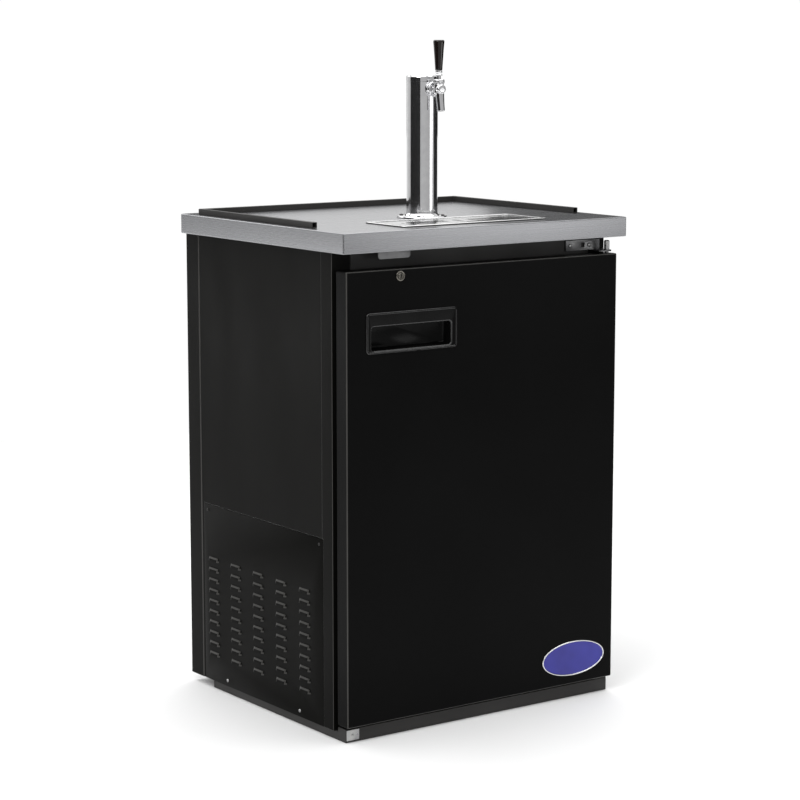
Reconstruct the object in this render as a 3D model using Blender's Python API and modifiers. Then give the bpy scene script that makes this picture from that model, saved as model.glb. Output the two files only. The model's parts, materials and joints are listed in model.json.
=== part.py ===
"""A one-tap keg cooler: an insulated steel cabinet with one hinged door, a stainless worktop with a
gallery rail, a draught tower with its tap, a drip tray, and a refrigeration unit under the keg floor.

Metres, +Z up. The front faces -Y. The origin is on the floor, under the middle of the worktop.
"""

from math import cos, pi, radians, sin

import bmesh
import bpy
from mathutils import Matrix, Vector

# ---------------------------------------------------------------- driving dimensions
GAP = 0.0003  # between pieces that touch
SKIN = 0.0015  # sheet steel

TOP_WIDTH = 0.686
TOP_DEPTH = 0.587
TOP_Z = 0.978  # working height
APRON = 0.0395

CABINET_HALF = 0.3318
CABINET_FRONT = -0.2374
CABINET_BACK = 0.2919
CABINET_BOTTOM = 0.0176
POST_PROUD = 0.0012
FRONT_POST_END = -0.2010
REAR_POST_START = 0.2447
CLADDING_TOP = 0.960
PAN_SHEET = 0.0025
MACHINE_FLOOR = CABINET_BOTTOM + PAN_SHEET + GAP
GAS_X, GAS_Z = -0.2350, 0.7600
CORD_X, CORD_Z = 0.2600, 0.0480
INNER_HALF = 0.2890  # half width of the keg compartment
INNER_BACK = 0.2490
ROOF_UNDERSIDE = 0.9363
MACHINE_ROOF = 0.2353
KEG_FLOOR = 0.2703
OPENING_TOP = 0.880

BASE_HALF = 0.3252
BASE_FRONT = -0.2703
BASE_BACK = 0.2158
BASE_TUBE = 0.035
KICK_BACK = -0.2420
KICK_TOP = 0.0262

ACCESS_FRONT = -0.2047
ACCESS_BACK = 0.2351
ACCESS_TOP = 0.388
LOUVER_COLUMNS = 5
LOUVER_ROWS = 10
LOUVER_MIDDLE_Y = 0.0300
LOUVER_PITCH_Y = 0.0843
LOUVER_LOW_Z = 0.0745
LOUVER_PITCH_Z = 0.0221
LOUVER_LENGTH = 0.035
LOUVER_HEIGHT = 0.0055

DOOR_HALF = 0.3290
DOOR_FRONT = -0.2819
DOOR_BOTTOM = 0.0310
DOOR_TOP = 0.9049
DOOR_RIM = -0.2465  # rear face of the skin's return flange
DOOR_SHEET = 0.0012
DOOR_CORE_BACK = -0.2480
GASKET_OUTER_HALF = 0.3190
GASKET_WIDTH = 0.014
GASKET_BOTTOM = 0.0380
GASKET_TOP = 0.8980
HINGE = Vector((0.3205, -0.2598, 0.0))
HINGE_PIN_RADIUS = 0.0040
HINGE_CLEARANCE = 0.0043

LOCK = Vector((-0.2058, 0.0, 0.8913))
LOCK_BARREL_RADIUS = 0.0085
CAM_REACH = 0.040
CAM_FRONT = -0.2587
CAM_BACK = -0.2567

HANDLE_LOW = Vector((-0.2848, 0.0, 0.7468))
HANDLE_HIGH = Vector((-0.0728, 0.0, 0.8252))
POCKET_LOW = Vector((-0.2732, 0.0, 0.7533))
POCKET_HIGH = Vector((-0.0875, 0.0, 0.7983))
POCKET_FLOOR = -0.2575

BADGE_CENTRE = Vector((0.2262, 0.0, 0.0850))
BADGE_HALF_WIDTH = 0.0805
BADGE_HALF_HEIGHT = 0.0358

TOWER_Y = -0.0686
TOWER_RADIUS = 0.0310
TOWER_WALL = 0.0015
TOWER_TOP = 1.2590
TOWER_JOINT = 1.2470  # where the cap meets the column
FLANGE_RADIUS = 0.0495
TAP_Z = 1.2327
TAP_Y = -0.1237
LEVER_PIVOT_Z = 1.2475
HANDLE_TOP_Z = 1.3283
HANDLE_FOOT_Z = 1.2687

TRAY_HALF = 0.1750
TRAY_FRONT = -0.2490
TRAY_BACK = -0.1200
TRAY_LEDGE = 0.0070
TRAY_DEPTH = 0.0220
SLOT_WIDTH = 0.0030
SLOT_LENGTH = 0.0320
SLOT_PITCH = 0.0056
SLOT_ROW_START = 0.0290
SLOTS_IN_ROW = 16

RAIL = 0.0110
RAIL_HALF = 0.3245
RAIL_BACK = 0.2560
RAIL_FRONT = -0.1625

COVER_HALF = 0.1900
COVER_FRONT = 0.1870
COVER_LOW = 0.6400
COVER_HIGH = 0.9000
EVAPORATOR_FAN = Vector((0.0850, 0.0, 0.7700))
EVAPORATOR_FAN_RADIUS = 0.0560

CONDENSER_FAN = Vector((0.0, 0.0300, 0.1290))
CONDENSER_FAN_RADIUS = 0.0780
COMPRESSOR = Vector((0.1500, 0.0900, 0.0))
THERMOSTAT = Vector((0.2620, 0.1300, 0.8300))

# ---------------------------------------------------------------- scene and materials
for old in list(bpy.data.objects):
    bpy.data.objects.remove(old, do_unlink=True)


def new_collection(name):
    collection = bpy.data.collections.new(name)
    bpy.context.scene.collection.children.link(collection)
    return collection


PARTS = new_collection("kegerator")
CUTTERS = new_collection("cutters")

FINISHES = {
    # name: colour, metallic, roughness
    "black_vinyl_steel": ((0.012, 0.012, 0.013), 0.3, 0.42),
    "black_frame": ((0.020, 0.020, 0.021), 0.3, 0.55),
    "brushed_stainless": ((0.58, 0.58, 0.59), 1.0, 0.30),
    "polished_stainless": ((0.75, 0.75, 0.76), 1.0, 0.08),
    "zinc_steel": ((0.62, 0.63, 0.65), 1.0, 0.35),
    "black_plastic": ((0.010, 0.010, 0.010), 0.0, 0.30),
    "black_rubber": ((0.015, 0.015, 0.015), 0.0, 0.80),
    "foam": ((0.78, 0.70, 0.48), 0.0, 0.90),
    "liner_aluminium": ((0.72, 0.73, 0.74), 1.0, 0.40),
    "copper": ((0.72, 0.38, 0.22), 1.0, 0.30),
    "badge_enamel": ((0.02, 0.04, 0.28), 0.0, 0.20),
    "white_plastic": ((0.80, 0.80, 0.78), 0.0, 0.45),
    "clear_line": ((0.80, 0.82, 0.80), 0.0, 0.25),
    "compressor_black": ((0.015, 0.015, 0.016), 0.2, 0.35),
}


def make_material(name):
    colour, metallic, roughness = FINISHES[name]
    material = bpy.data.materials.new(name)
    material.use_nodes = True
    shader = material.node_tree.nodes["Principled BSDF"]
    shader.inputs["Base Color"].default_value = (*colour, 1.0)
    shader.inputs["Metallic"].default_value = metallic
    shader.inputs["Roughness"].default_value = roughness
    return material


MATERIALS = {name: make_material(name) for name in FINISHES}


# ---------------------------------------------------------------- shape helpers
def place(mesh, name, finish, parent=None):
    """An object for the mesh: a part with its finish, or a hidden cutter where finish is None."""
    obj = bpy.data.objects.new(name, mesh)
    if finish is None:
        CUTTERS.objects.link(obj)
        obj.hide_render = True
        obj.display_type = "WIRE"
        return obj
    PARTS.objects.link(obj)
    mesh.materials.append(MATERIALS[finish])
    if parent is not None:
        obj.parent = parent
        obj.matrix_parent_inverse = Matrix.Translation(parent.location).inverted()
    return obj


def axis_empty(name, location, parent=None):
    """An empty on a joint's axis. The moving pieces are its children."""
    empty = bpy.data.objects.new(name, None)
    PARTS.objects.link(empty)
    empty.empty_display_size = 0.02
    empty.location = location
    if parent is not None:
        empty.parent = parent
        empty.matrix_parent_inverse = Matrix.Translation(parent.location).inverted()
    return empty


def mesh_from(build):
    mesh = bpy.data.meshes.new("shape")
    shape = bmesh.new()
    build(shape)
    shape.to_mesh(mesh)
    shape.free()
    return mesh


def add_cube(shape, low, high):
    low, high = Vector(low), Vector(high)
    size = Matrix.Diagonal((*(high - low), 1.0))
    bmesh.ops.create_cube(shape, size=1.0, matrix=Matrix.Translation((low + high) / 2) @ size)


def box(name, low, high, finish=None, parent=None, bevel=0.0, segments=1):
    mesh = mesh_from(lambda shape: add_cube(shape, low, high))
    obj = place(mesh, name, finish, parent)
    if bevel:
        soften(obj, bevel, segments)
    return obj


def boxes(name, corners, finish=None, parent=None):
    """Several boxes in one mesh, for a cutter that makes a row of slots."""

    def build(shape):
        for low, high in corners:
            add_cube(shape, low, high)

    return place(mesh_from(build), name, finish, parent)


TURNS = {
    "X": Matrix.Rotation(pi / 2, 4, "Y"),
    "-X": Matrix.Rotation(-pi / 2, 4, "Y"),
    "Y": Matrix.Rotation(-pi / 2, 4, "X"),
    "-Y": Matrix.Rotation(pi / 2, 4, "X"),
    "Z": Matrix.Identity(4),
}


def cylinder(name, foot, radius, length, axis="Z", finish=None, parent=None, segments=24, tip=None):
    """A cylinder, or a cone with its tip radius, from foot along axis."""
    turn = Matrix.Translation(foot) @ TURNS[axis] @ Matrix.Translation((0, 0, length / 2))

    def build(shape):
        bmesh.ops.create_cone(
            shape,
            cap_ends=True,
            segments=segments,
            radius1=radius,
            radius2=radius if tip is None else tip,
            depth=length,
            matrix=turn,
        )

    obj = place(mesh_from(build), name, finish, parent)
    obj.data.set_sharp_from_angle(angle=radians(40))
    return obj


def soften(obj, width, segments=1):
    bevel = obj.modifiers.new("Bevel", "BEVEL")
    bevel.width = width
    bevel.segments = segments
    bevel.limit_method = "ANGLE"
    bevel.angle_limit = radians(40)


def boolean(obj, other, operation):
    modifier = obj.modifiers.new(operation.title(), "BOOLEAN")
    modifier.operation = operation
    modifier.solver = "EXACT"
    modifier.object = other


def cut(obj, *cutters):
    for cutter in cutters:
        boolean(obj, cutter, "DIFFERENCE")


def join(obj, *others):
    for other in others:
        boolean(obj, other, "UNION")


def turned(name, profile, foot, axis="Z", finish=None, parent=None, steps=32):
    """A solid of revolution. The profile lists (radius, height) down the outer side and up the inner one."""

    def build(shape):
        corners = [shape.verts.new((radius, 0.0, height)) for radius, height in profile]
        closed = profile[0][0] > 0 and profile[-1][0] > 0
        pairs = zip(corners, corners[1:] + corners[:1] if closed else corners[1:])
        for start, end in pairs:
            shape.edges.new((start, end))

    obj = place(mesh_from(build), name, finish, parent)
    obj.matrix_basis = Matrix.Translation(foot) @ TURNS[axis]
    screw = obj.modifiers.new("Screw", "SCREW")
    screw.steps = steps
    screw.render_steps = steps
    screw.use_merge_vertices = True
    screw.merge_threshold = 0.00001
    screw.use_smooth_shade = False
    return obj


def outline(name, points, low, high, axis="Z", finish=None, parent=None):
    """A flat outline of (u, v) points, extruded along the axis from low to high."""
    curve = bpy.data.curves.new("outline", "CURVE")
    curve.dimensions = "2D"
    curve.fill_mode = "BOTH"
    curve.extrude = (high - low) / 2
    spline = curve.splines.new("POLY")
    spline.points.add(len(points) - 1)
    for point, (u, v) in zip(spline.points, points):
        point.co = (u, v, 0.0, 1.0)
    spline.use_cyclic_u = True
    guide = bpy.data.objects.new("outline", curve)
    bpy.context.scene.collection.objects.link(guide)
    obj = place(solid_mesh(guide), name, finish, parent)
    middle = (low + high) / 2
    if axis == "Z":
        obj.location = (0.0, 0.0, middle)
    elif axis == "X":
        # u runs along Y and v along Z
        obj.matrix_basis = Matrix(((0, 0, 1, middle), (1, 0, 0, 0), (0, 1, 0, 0), (0, 0, 0, 1)))
    else:
        # u runs along X and v along Z
        obj.matrix_basis = Matrix(((1, 0, 0, 0), (0, 0, -1, middle), (0, 1, 0, 0), (0, 0, 0, 1)))
    return obj


def solid_mesh(guide):
    """The curve object as one closed mesh. The curve is removed."""
    graph = bpy.context.evaluated_depsgraph_get()
    mesh = bpy.data.meshes.new_from_object(guide.evaluated_get(graph))
    bpy.data.objects.remove(guide, do_unlink=True)
    mesh.materials.clear()
    shape = bmesh.new()
    shape.from_mesh(mesh)
    bmesh.ops.remove_doubles(shape, verts=shape.verts, dist=0.00001)
    shape.to_mesh(mesh)
    shape.free()
    return mesh


def tube(name, points, radius, finish=None, parent=None, sides=2):
    """A round tube along the points, with flat ends."""
    curve = bpy.data.curves.new("route", "CURVE")
    curve.dimensions = "3D"
    curve.bevel_depth = radius
    curve.bevel_resolution = sides
    curve.use_fill_caps = True
    spline = curve.splines.new("POLY")
    spline.points.add(len(points) - 1)
    for point, place_at in zip(spline.points, points):
        point.co = (*place_at, 1.0)
    guide = bpy.data.objects.new("route", curve)
    bpy.context.scene.collection.objects.link(guide)
    return place(solid_mesh(guide), name, finish, parent)


def rounded(points, radius, steps=4):
    """The route with each inner corner replaced by an arc-like bend of that radius."""
    points = [Vector(point) for point in points]
    route = [points[0]]
    for before, corner, after in zip(points, points[1:], points[2:]):
        start = corner + (before - corner).normalized() * radius
        end = corner + (after - corner).normalized() * radius
        for step in range(steps + 1):
            t = step / steps
            route.append(start * (1 - t) ** 2 + corner * 2 * t * (1 - t) + end * t**2)
    route.append(points[-1])
    return route


# ---------------------------------------------------------------- cabinet
def base_frame():
    """The welded tube frame that the cabinet stands on, and the kick plate on its front."""
    top = CABINET_BOTTOM - GAP
    frame = box("base_frame", (-BASE_HALF, BASE_FRONT, 0), (BASE_HALF, BASE_BACK, top), "black_frame")
    inner = BASE_HALF - BASE_TUBE
    hollow = box(
        "base_hollow",
        (-inner, BASE_FRONT + BASE_TUBE, -0.01),
        (inner, BASE_BACK - BASE_TUBE, top + 0.01),
    )
    kick = box("kick_plate", (-BASE_HALF, BASE_FRONT, 0.005), (BASE_HALF, KICK_BACK, KICK_TOP))
    join(frame, kick)
    cut(frame, hollow)


def floor_pan():
    box(
        "floor_pan",
        (-CABINET_HALF + 0.0030, CABINET_FRONT + SKIN + GAP, CABINET_BOTTOM),
        (CABINET_HALF - 0.0030, 0.2900, CABINET_BOTTOM + PAN_SHEET),
        "zinc_steel",
    )


def side_panel(name, side):
    """A folded steel side: a proud post strip at each end, a front face flange and a rear return."""
    outer, sunk = CABINET_HALF, CABINET_HALF - POST_PROUD
    inner = sunk - SKIN
    face_end, return_end = INNER_HALF, CABINET_HALF - 0.0143
    plan = [
        (outer, CABINET_FRONT),
        (outer, FRONT_POST_END),
        (sunk, FRONT_POST_END + 0.0006),
        (sunk, REAR_POST_START - 0.0006),
        (outer, REAR_POST_START),
        (outer, CABINET_BACK),
        (return_end, CABINET_BACK),
        (return_end, CABINET_BACK - SKIN),
        (inner, CABINET_BACK - SKIN),
        (inner, CABINET_FRONT + SKIN),
        (face_end, CABINET_FRONT + SKIN),
        (face_end, CABINET_FRONT),
    ]
    points = [(side * x, y) for x, y in plan]
    panel = outline(name, points, CABINET_BOTTOM, CLADDING_TOP, "Z", "black_vinyl_steel")
    window = box(
        name + "_window",
        (min(side * 0.30, side * 0.34), ACCESS_FRONT, 0.0),
        (max(side * 0.30, side * 0.34), ACCESS_BACK, ACCESS_TOP),
    )
    cut(panel, window)


def louver_rows():
    for column in range(LOUVER_COLUMNS):
        y = LOUVER_MIDDLE_Y + (column - (LOUVER_COLUMNS - 1) / 2) * LOUVER_PITCH_Y
        for row in range(LOUVER_ROWS):
            yield y, LOUVER_LOW_Z + row * LOUVER_PITCH_Z


def louver_panel(name, side):
    """The screwed-on access panel beside the condensing unit, with its louvre slots."""
    outer, inner = CABINET_HALF - 0.0005, CABINET_HALF - 0.0020
    panel = box(
        name,
        (min(side * outer, side * inner), ACCESS_FRONT + 0.0004, CABINET_BOTTOM + GAP),
        (max(side * outer, side * inner), ACCESS_BACK - 0.0004, ACCESS_TOP - 0.0004),
        "black_vinyl_steel",
    )
    corners = [
        (
            (min(side * 0.32, side * 0.34), y - LOUVER_LENGTH / 2, z - LOUVER_HEIGHT / 2),
            (max(side * 0.32, side * 0.34), y + LOUVER_LENGTH / 2, z + LOUVER_HEIGHT / 2),
        )
        for y, z in louver_rows()
    ]
    cut(panel, boxes(name + "_slots", corners))


def back_panels():
    """The rear cladding with its gas-line hole, and the slotted grille behind the condensing unit."""
    half, front, back = 0.3270, 0.2886, 0.2901
    panel = box("back_panel", (-half, front, 0.2900), (half, back, CLADDING_TOP), "black_vinyl_steel")
    cut(panel, cylinder("gas_hole", (GAS_X, 0.2800, GAS_Z), 0.0120, 0.02, "Y"))
    grille = box("rear_grille", (-half, front, 0.0206), (half, back, 0.2890), "black_vinyl_steel")
    slots = [
        ((x - 0.070, 0.28, z - 0.003), (x + 0.070, 0.30, z + 0.003))
        for x in (-0.19, 0.0, 0.19)
        for z in [0.085 + 0.018 * row for row in range(10)]
    ]
    cut(grille, boxes("grille_slots", slots))
    cut(grille, cylinder("cord_hole", (CORD_X, 0.2800, CORD_Z), 0.0090, 0.02, "Y"))
    turned(
        "cord_gland",
        [
            (0.0125, 0.0015),
            (0.0125, 0.0),
            (0.0085, 0.0),
            (0.0085, -0.0060),
            (0.0045, -0.0060),
            (0.0045, 0.0015),
        ],
        (CORD_X, back + GAP, CORD_Z),
        "Y",
        "black_rubber",
        steps=24,
    )


def insulated_box():
    """The foamed walls, floor and roof of the keg compartment, each one flat panel."""
    outer = CABINET_HALF - 0.0030
    wall_back_face = 0.2883
    front = CABINET_FRONT + SKIN + GAP
    for name, side in (("wall_left", -1), ("wall_right", 1)):
        wall = box(
            name,
            (min(side * outer, side * INNER_HALF), front, MACHINE_ROOF),
            (max(side * outer, side * INNER_HALF), wall_back_face, ROOF_UNDERSIDE - GAP),
            "liner_aluminium",
        )
        # an air duct behind the upper louvres
        duct = box(
            name + "_duct",
            (min(side * 0.3180, side * 0.34), -0.19, MACHINE_ROOF - 0.01),
            (max(side * 0.3180, side * 0.34), 0.22, ACCESS_TOP - 0.015),
        )
        cut(wall, duct)
    inner = INNER_HALF - GAP
    back = box(
        "wall_back",
        (-inner, INNER_BACK, MACHINE_ROOF),
        (inner, wall_back_face, ROOF_UNDERSIDE - GAP),
        "liner_aluminium",
    )
    cut(back, cylinder("gas_way", (GAS_X, 0.2400, GAS_Z), 0.0080, 0.06, "Y"))
    floor = box(
        "keg_floor",
        (-inner, CABINET_FRONT, MACHINE_ROOF),
        (inner, INNER_BACK - GAP, KEG_FLOOR),
        "liner_aluminium",
    )
    cut(floor, cylinder("suction_way", (0.1650, 0.2360, 0.22), 0.0075, 0.06))
    roof = box(
        "roof_slab",
        (-outer, -0.2340, ROOF_UNDERSIDE),
        (outer, wall_back_face, TOP_Z - SKIN - GAP),
        "foam",
    )
    cut(roof, cylinder("tower_way_roof", (0, TOWER_Y, 0.92), 0.0170, 0.08))
    well = box(
        "tray_well",
        (-TRAY_HALF + TRAY_LEDGE - 0.001, -0.26, TOP_Z - TRAY_DEPTH - 0.001),
        (TRAY_HALF - TRAY_LEDGE + 0.001, TRAY_BACK - TRAY_LEDGE + 0.001, TOP_Z + 0.01),
    )
    cut(roof, well)
    box(
        "bulkhead",
        (-inner, CABINET_FRONT, CABINET_BOTTOM + 0.0031),
        (inner, CABINET_FRONT + 0.010, MACHINE_ROOF - GAP),
        "black_frame",
    )
    box(
        "header_rail",
        (-inner, CABINET_FRONT, OPENING_TOP),
        (inner, CABINET_FRONT + 0.009, ROOF_UNDERSIDE - GAP),
        "black_vinyl_steel",
    )


def worktop():
    """The folded stainless top: a flat sheet with an apron all round."""
    half_w, half_d = TOP_WIDTH / 2, TOP_DEPTH / 2
    top = box(
        "worktop",
        (-half_w, -half_d, TOP_Z - APRON),
        (half_w, half_d, TOP_Z),
        "brushed_stainless",
        bevel=0.0018,
        segments=2,
    )
    inside = box(
        "worktop_inside",
        (-half_w + SKIN, -half_d + SKIN, TOP_Z - APRON - 0.01),
        (half_w - SKIN, half_d - SKIN, TOP_Z - SKIN),
    )
    tray_hole = box(
        "tray_hole",
        (-TRAY_HALF + TRAY_LEDGE - 0.001, TRAY_FRONT + TRAY_LEDGE - 0.001, 0.97),
        (TRAY_HALF - TRAY_LEDGE + 0.001, TRAY_BACK - TRAY_LEDGE + 0.001, 0.99),
    )
    cut(top, inside, tray_hole, cylinder("tower_way_top", (0, TOWER_Y, 0.97), 0.0170, 0.02))


def gallery_rail():
    """The square bar along the left, back and right edges of the worktop, welded at its corners."""
    low, high = TOP_Z + GAP, TOP_Z + GAP + RAIL
    rail = box("gallery_rail", (-RAIL_HALF, RAIL_FRONT, low), (RAIL_HALF, RAIL_BACK, high), "black_frame")
    inner = RAIL_HALF - RAIL
    inside_low, inside_high = (-inner, RAIL_FRONT - 0.1, low - 0.01), (inner, RAIL_BACK - RAIL, high + 0.01)
    cut(rail, box("rail_inside", inside_low, inside_high))
    soften(rail, 0.0010)


# ---------------------------------------------------------------- hinges and lock
def hinges():
    face = CABINET_FRONT - GAP
    top = box("hinge_bracket_top", (0.2305, face - 0.0025, 0.9105), (0.3180, face, 0.9310), "zinc_steel")
    tab = box("hinge_tab", (0.2960, HINGE.y - 0.0092, 0.9078), (0.3297, face - 0.0001, 0.9106))
    hole = cylinder("hinge_tab_hole", (HINGE.x, HINGE.y, 0.90), HINGE_CLEARANCE, 0.02)
    join(top, tab)
    cut(top, hole)
    turned(
        "hinge_pin_top",
        [
            (0.0, 0.0220),
            (0.0055, 0.0220),
            (0.0055, 0.0032),
            (HINGE_PIN_RADIUS, 0.0032),
            (HINGE_PIN_RADIUS, -0.0300),
            (0.0, -0.0300),
        ],
        (HINGE.x, HINGE.y, 0.9078),
        "Z",
        "zinc_steel",
        steps=20,
    )
    bottom = box(
        "hinge_bracket_bottom",
        (0.2900, BASE_FRONT + 0.0005, 0.0265),
        (0.3245, -0.2440, 0.0290),
        "zinc_steel",
    )
    join(bottom, cylinder("hinge_stud", (HINGE.x, HINGE.y, 0.0275), HINGE_PIN_RADIUS, 0.0305, segments=20))


def lock_strike():
    """The plate under the worktop that the lock's tongue turns behind."""
    low_x, high_x = LOCK.x - 0.0375, LOCK.x + 0.0375
    top = TOP_Z - SKIN - GAP
    strike = box("lock_strike", (low_x, -0.2625, 0.9225), (high_x, -0.2610, top), "zinc_steel")
    join(strike, box("strike_flange", (low_x, -0.2620, top - 0.0015), (high_x, -0.2360, top)))


# ---------------------------------------------------------------- door
def hinge_bores():
    top = cylinder("door_bore_top", (HINGE.x, HINGE.y, 0.8760), HINGE_CLEARANCE, 0.04)
    bottom = cylinder("door_bore_bottom", (HINGE.x, HINGE.y, 0.0200), HINGE_CLEARANCE, 0.0400)
    return top, bottom


def door(axis):
    skin = box(
        "door_skin",
        (-DOOR_HALF, DOOR_FRONT, DOOR_BOTTOM),
        (DOOR_HALF, DOOR_RIM, DOOR_TOP),
        "black_vinyl_steel",
        axis,
        bevel=0.0020,
        segments=2,
    )
    sheet = DOOR_SHEET
    hollow = box(
        "door_hollow",
        (-DOOR_HALF + sheet, DOOR_FRONT + sheet, DOOR_BOTTOM + sheet),
        (DOOR_HALF - sheet, DOOR_RIM - sheet, DOOR_TOP - sheet),
    )
    flange = DOOR_HALF - 0.2980
    back_opening = box(
        "door_back_opening",
        (-DOOR_HALF + flange, DOOR_RIM - 0.005, DOOR_BOTTOM + flange),
        (DOOR_HALF - flange, DOOR_RIM + 0.01, DOOR_TOP - flange),
    )
    handle_hole = box(
        "handle_hole",
        (POCKET_LOW.x - 0.0022, DOOR_FRONT - 0.01, POCKET_LOW.z - 0.0022),
        (POCKET_HIGH.x + 0.0022, POCKET_FLOOR + 0.0030, HANDLE_HIGH.z - 0.0020),
    )
    lock_hole = cylinder("lock_hole", (LOCK.x, DOOR_FRONT - 0.005, LOCK.z), 0.0088, 0.0270, "Y")
    cam_slot = box(
        "cam_slot",
        (LOCK.x - 0.0130, CAM_FRONT - 0.0012, LOCK.z - 0.0110),
        (LOCK.x + CAM_REACH + 0.0030, CAM_BACK + 0.0012, DOOR_TOP + 0.01),
    )
    top_bore, bottom_bore = hinge_bores()
    cut(skin, hollow, back_opening, handle_hole, lock_hole, cam_slot, top_bore, bottom_bore)

    core = box(
        "door_core",
        (-DOOR_HALF + sheet + GAP, DOOR_FRONT + sheet + GAP, DOOR_BOTTOM + sheet + GAP),
        (DOOR_HALF - sheet - GAP, DOOR_CORE_BACK, DOOR_TOP - sheet - GAP),
        "foam",
        axis,
    )
    cut(core, handle_hole, lock_hole, cam_slot, top_bore, bottom_bore)

    inner_half = GASKET_OUTER_HALF - GASKET_WIDTH
    liner_half = inner_half - 0.0005
    low, high = GASKET_BOTTOM + GASKET_WIDTH + 0.0005, GASKET_TOP - GASKET_WIDTH - 0.0005
    liner_front = DOOR_RIM + GAP
    liner = box(
        "door_liner",
        (-liner_half, liner_front, low),
        (liner_half, liner_front + 0.0022, high),
        "liner_aluminium",
        axis,
    )
    raised = box(
        "liner_rise",
        (-liner_half + 0.030, liner_front + 0.0010, low + 0.030),
        (liner_half - 0.030, liner_front + 0.0065, high - 0.030),
        bevel=0.003,
    )
    join(liner, raised)

    gasket = box(
        "door_gasket",
        (-GASKET_OUTER_HALF, liner_front, GASKET_BOTTOM),
        (GASKET_OUTER_HALF, CABINET_FRONT - GAP, GASKET_TOP),
        "black_rubber",
        axis,
        bevel=0.0020,
    )
    ring_hole = box(
        "gasket_hole",
        (-inner_half, liner_front - 0.01, GASKET_BOTTOM + GASKET_WIDTH),
        (inner_half, CABINET_FRONT + 0.01, GASKET_TOP - GASKET_WIDTH),
    )
    cut(gasket, ring_hole)


def door_handle(axis):
    """A moulded pocket: a flat surround, and a cup whose top runs up behind the grip lip."""
    proud = DOOR_FRONT - GAP
    surround = box(
        "door_handle",
        (HANDLE_LOW.x, proud - 0.0025, HANDLE_LOW.z),
        (HANDLE_HIGH.x, proud, HANDLE_HIGH.z),
        "black_plastic",
        axis,
        bevel=0.0012,
    )
    wall = 0.0015
    cup = box(
        "cup_block",
        (POCKET_LOW.x - wall, proud - 0.0010, POCKET_LOW.z - wall),
        (POCKET_HIGH.x + wall, POCKET_FLOOR + wall, HANDLE_HIGH.z - 0.0030),
    )
    mouth = box(
        "pocket_mouth",
        (POCKET_LOW.x, proud - 0.01, POCKET_LOW.z),
        (POCKET_HIGH.x, POCKET_FLOOR, POCKET_HIGH.z),
    )
    grip_space = box(
        "grip_space",
        (POCKET_LOW.x, proud + 0.0035, POCKET_HIGH.z - 0.001),
        (POCKET_HIGH.x, POCKET_FLOOR, HANDLE_HIGH.z - 0.0045),
    )
    join(surround, cup)
    cut(surround, mouth, grip_space)


def badge(axis):
    """A blank oval plate, low on the door's hinge side."""
    count = 40
    angles = [2 * pi * step / count for step in range(count)]
    points = [
        (BADGE_CENTRE.x + BADGE_HALF_WIDTH * cos(a), BADGE_CENTRE.z + BADGE_HALF_HEIGHT * sin(a))
        for a in angles
    ]
    back = DOOR_FRONT - GAP
    outline("badge_plate", points, back - 0.0018, back, "Y", "badge_enamel", axis)


def lock(door_axis, lock_axis):
    face = DOOR_FRONT - 0.0024
    turned(
        "lock_bezel",
        [
            (0.0102, 0.0021),
            (0.0094, 0.0),
            (0.0062, 0.0),
            (0.0062, 0.0235),
            (LOCK_BARREL_RADIUS, 0.0235),
            (LOCK_BARREL_RADIUS, 0.0021),
        ],
        (LOCK.x, face, LOCK.z),
        "Y",
        "polished_stainless",
        door_axis,
        steps=24,
    )
    plug = cylinder(
        "lock_plug", (LOCK.x, face - 0.0004, LOCK.z), 0.0059, 0.0249, "Y", "polished_stainless", lock_axis
    )
    keyway = box(
        "keyway",
        (LOCK.x - 0.0009, face - 0.01, LOCK.z - 0.0038),
        (LOCK.x + 0.0009, face + 0.0060, LOCK.z + 0.0038),
    )
    cut(plug, keyway)
    box(
        "lock_cam",
        (LOCK.x - 0.0080, CAM_FRONT, LOCK.z - 0.0060),
        (LOCK.x + CAM_REACH, CAM_BACK, LOCK.z + 0.0060),
        "zinc_steel",
        lock_axis,
        bevel=0.0008,
    )


# ---------------------------------------------------------------- draught tower and tap
def tower(cap_axis):
    turned(
        "tower_flange",
        [
            (FLANGE_RADIUS - 0.0015, 0.0040),
            (FLANGE_RADIUS, 0.0025),
            (FLANGE_RADIUS, 0.0),
            (0.0170, 0.0),
            (0.0170, 0.0040),
        ],
        (0, TOWER_Y, TOP_Z + GAP),
        "Z",
        "polished_stainless",
        steps=40,
    )
    foot = TOP_Z + GAP + 0.0040 + GAP
    inner = TOWER_RADIUS - TOWER_WALL
    column = turned(
        "tower_column",
        [(TOWER_RADIUS, TOWER_JOINT), (TOWER_RADIUS, foot), (inner, foot), (inner, TOWER_JOINT)],
        (0, TOWER_Y, 0),
        "Z",
        "polished_stainless",
        steps=48,
    )
    cut(column, cylinder("shank_hole", (0, TOWER_Y, TAP_Z), 0.0113, 0.05, "-Y"))
    cap_low = TOWER_JOINT + GAP
    cap = turned(
        "tower_cap",
        [
            (0.0, TOWER_TOP),
            (0.0285, TOWER_TOP),
            (0.0305, TOWER_TOP - 0.0010),
            (0.0313, TOWER_TOP - 0.0028),
            (0.0313, cap_low),
            (inner - GAP, cap_low),
            (inner - GAP, cap_low - 0.0050),
            (0.0, cap_low - 0.0050),
        ],
        (0, TOWER_Y, 0),
        "Z",
        "polished_stainless",
        cap_axis,
        steps=48,
    )
    cut(cap, box("shank_clearance", (-0.016, TOWER_Y - 0.0320, 1.2300), (0.016, TOWER_Y + 0.0090, cap_low)))


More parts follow.
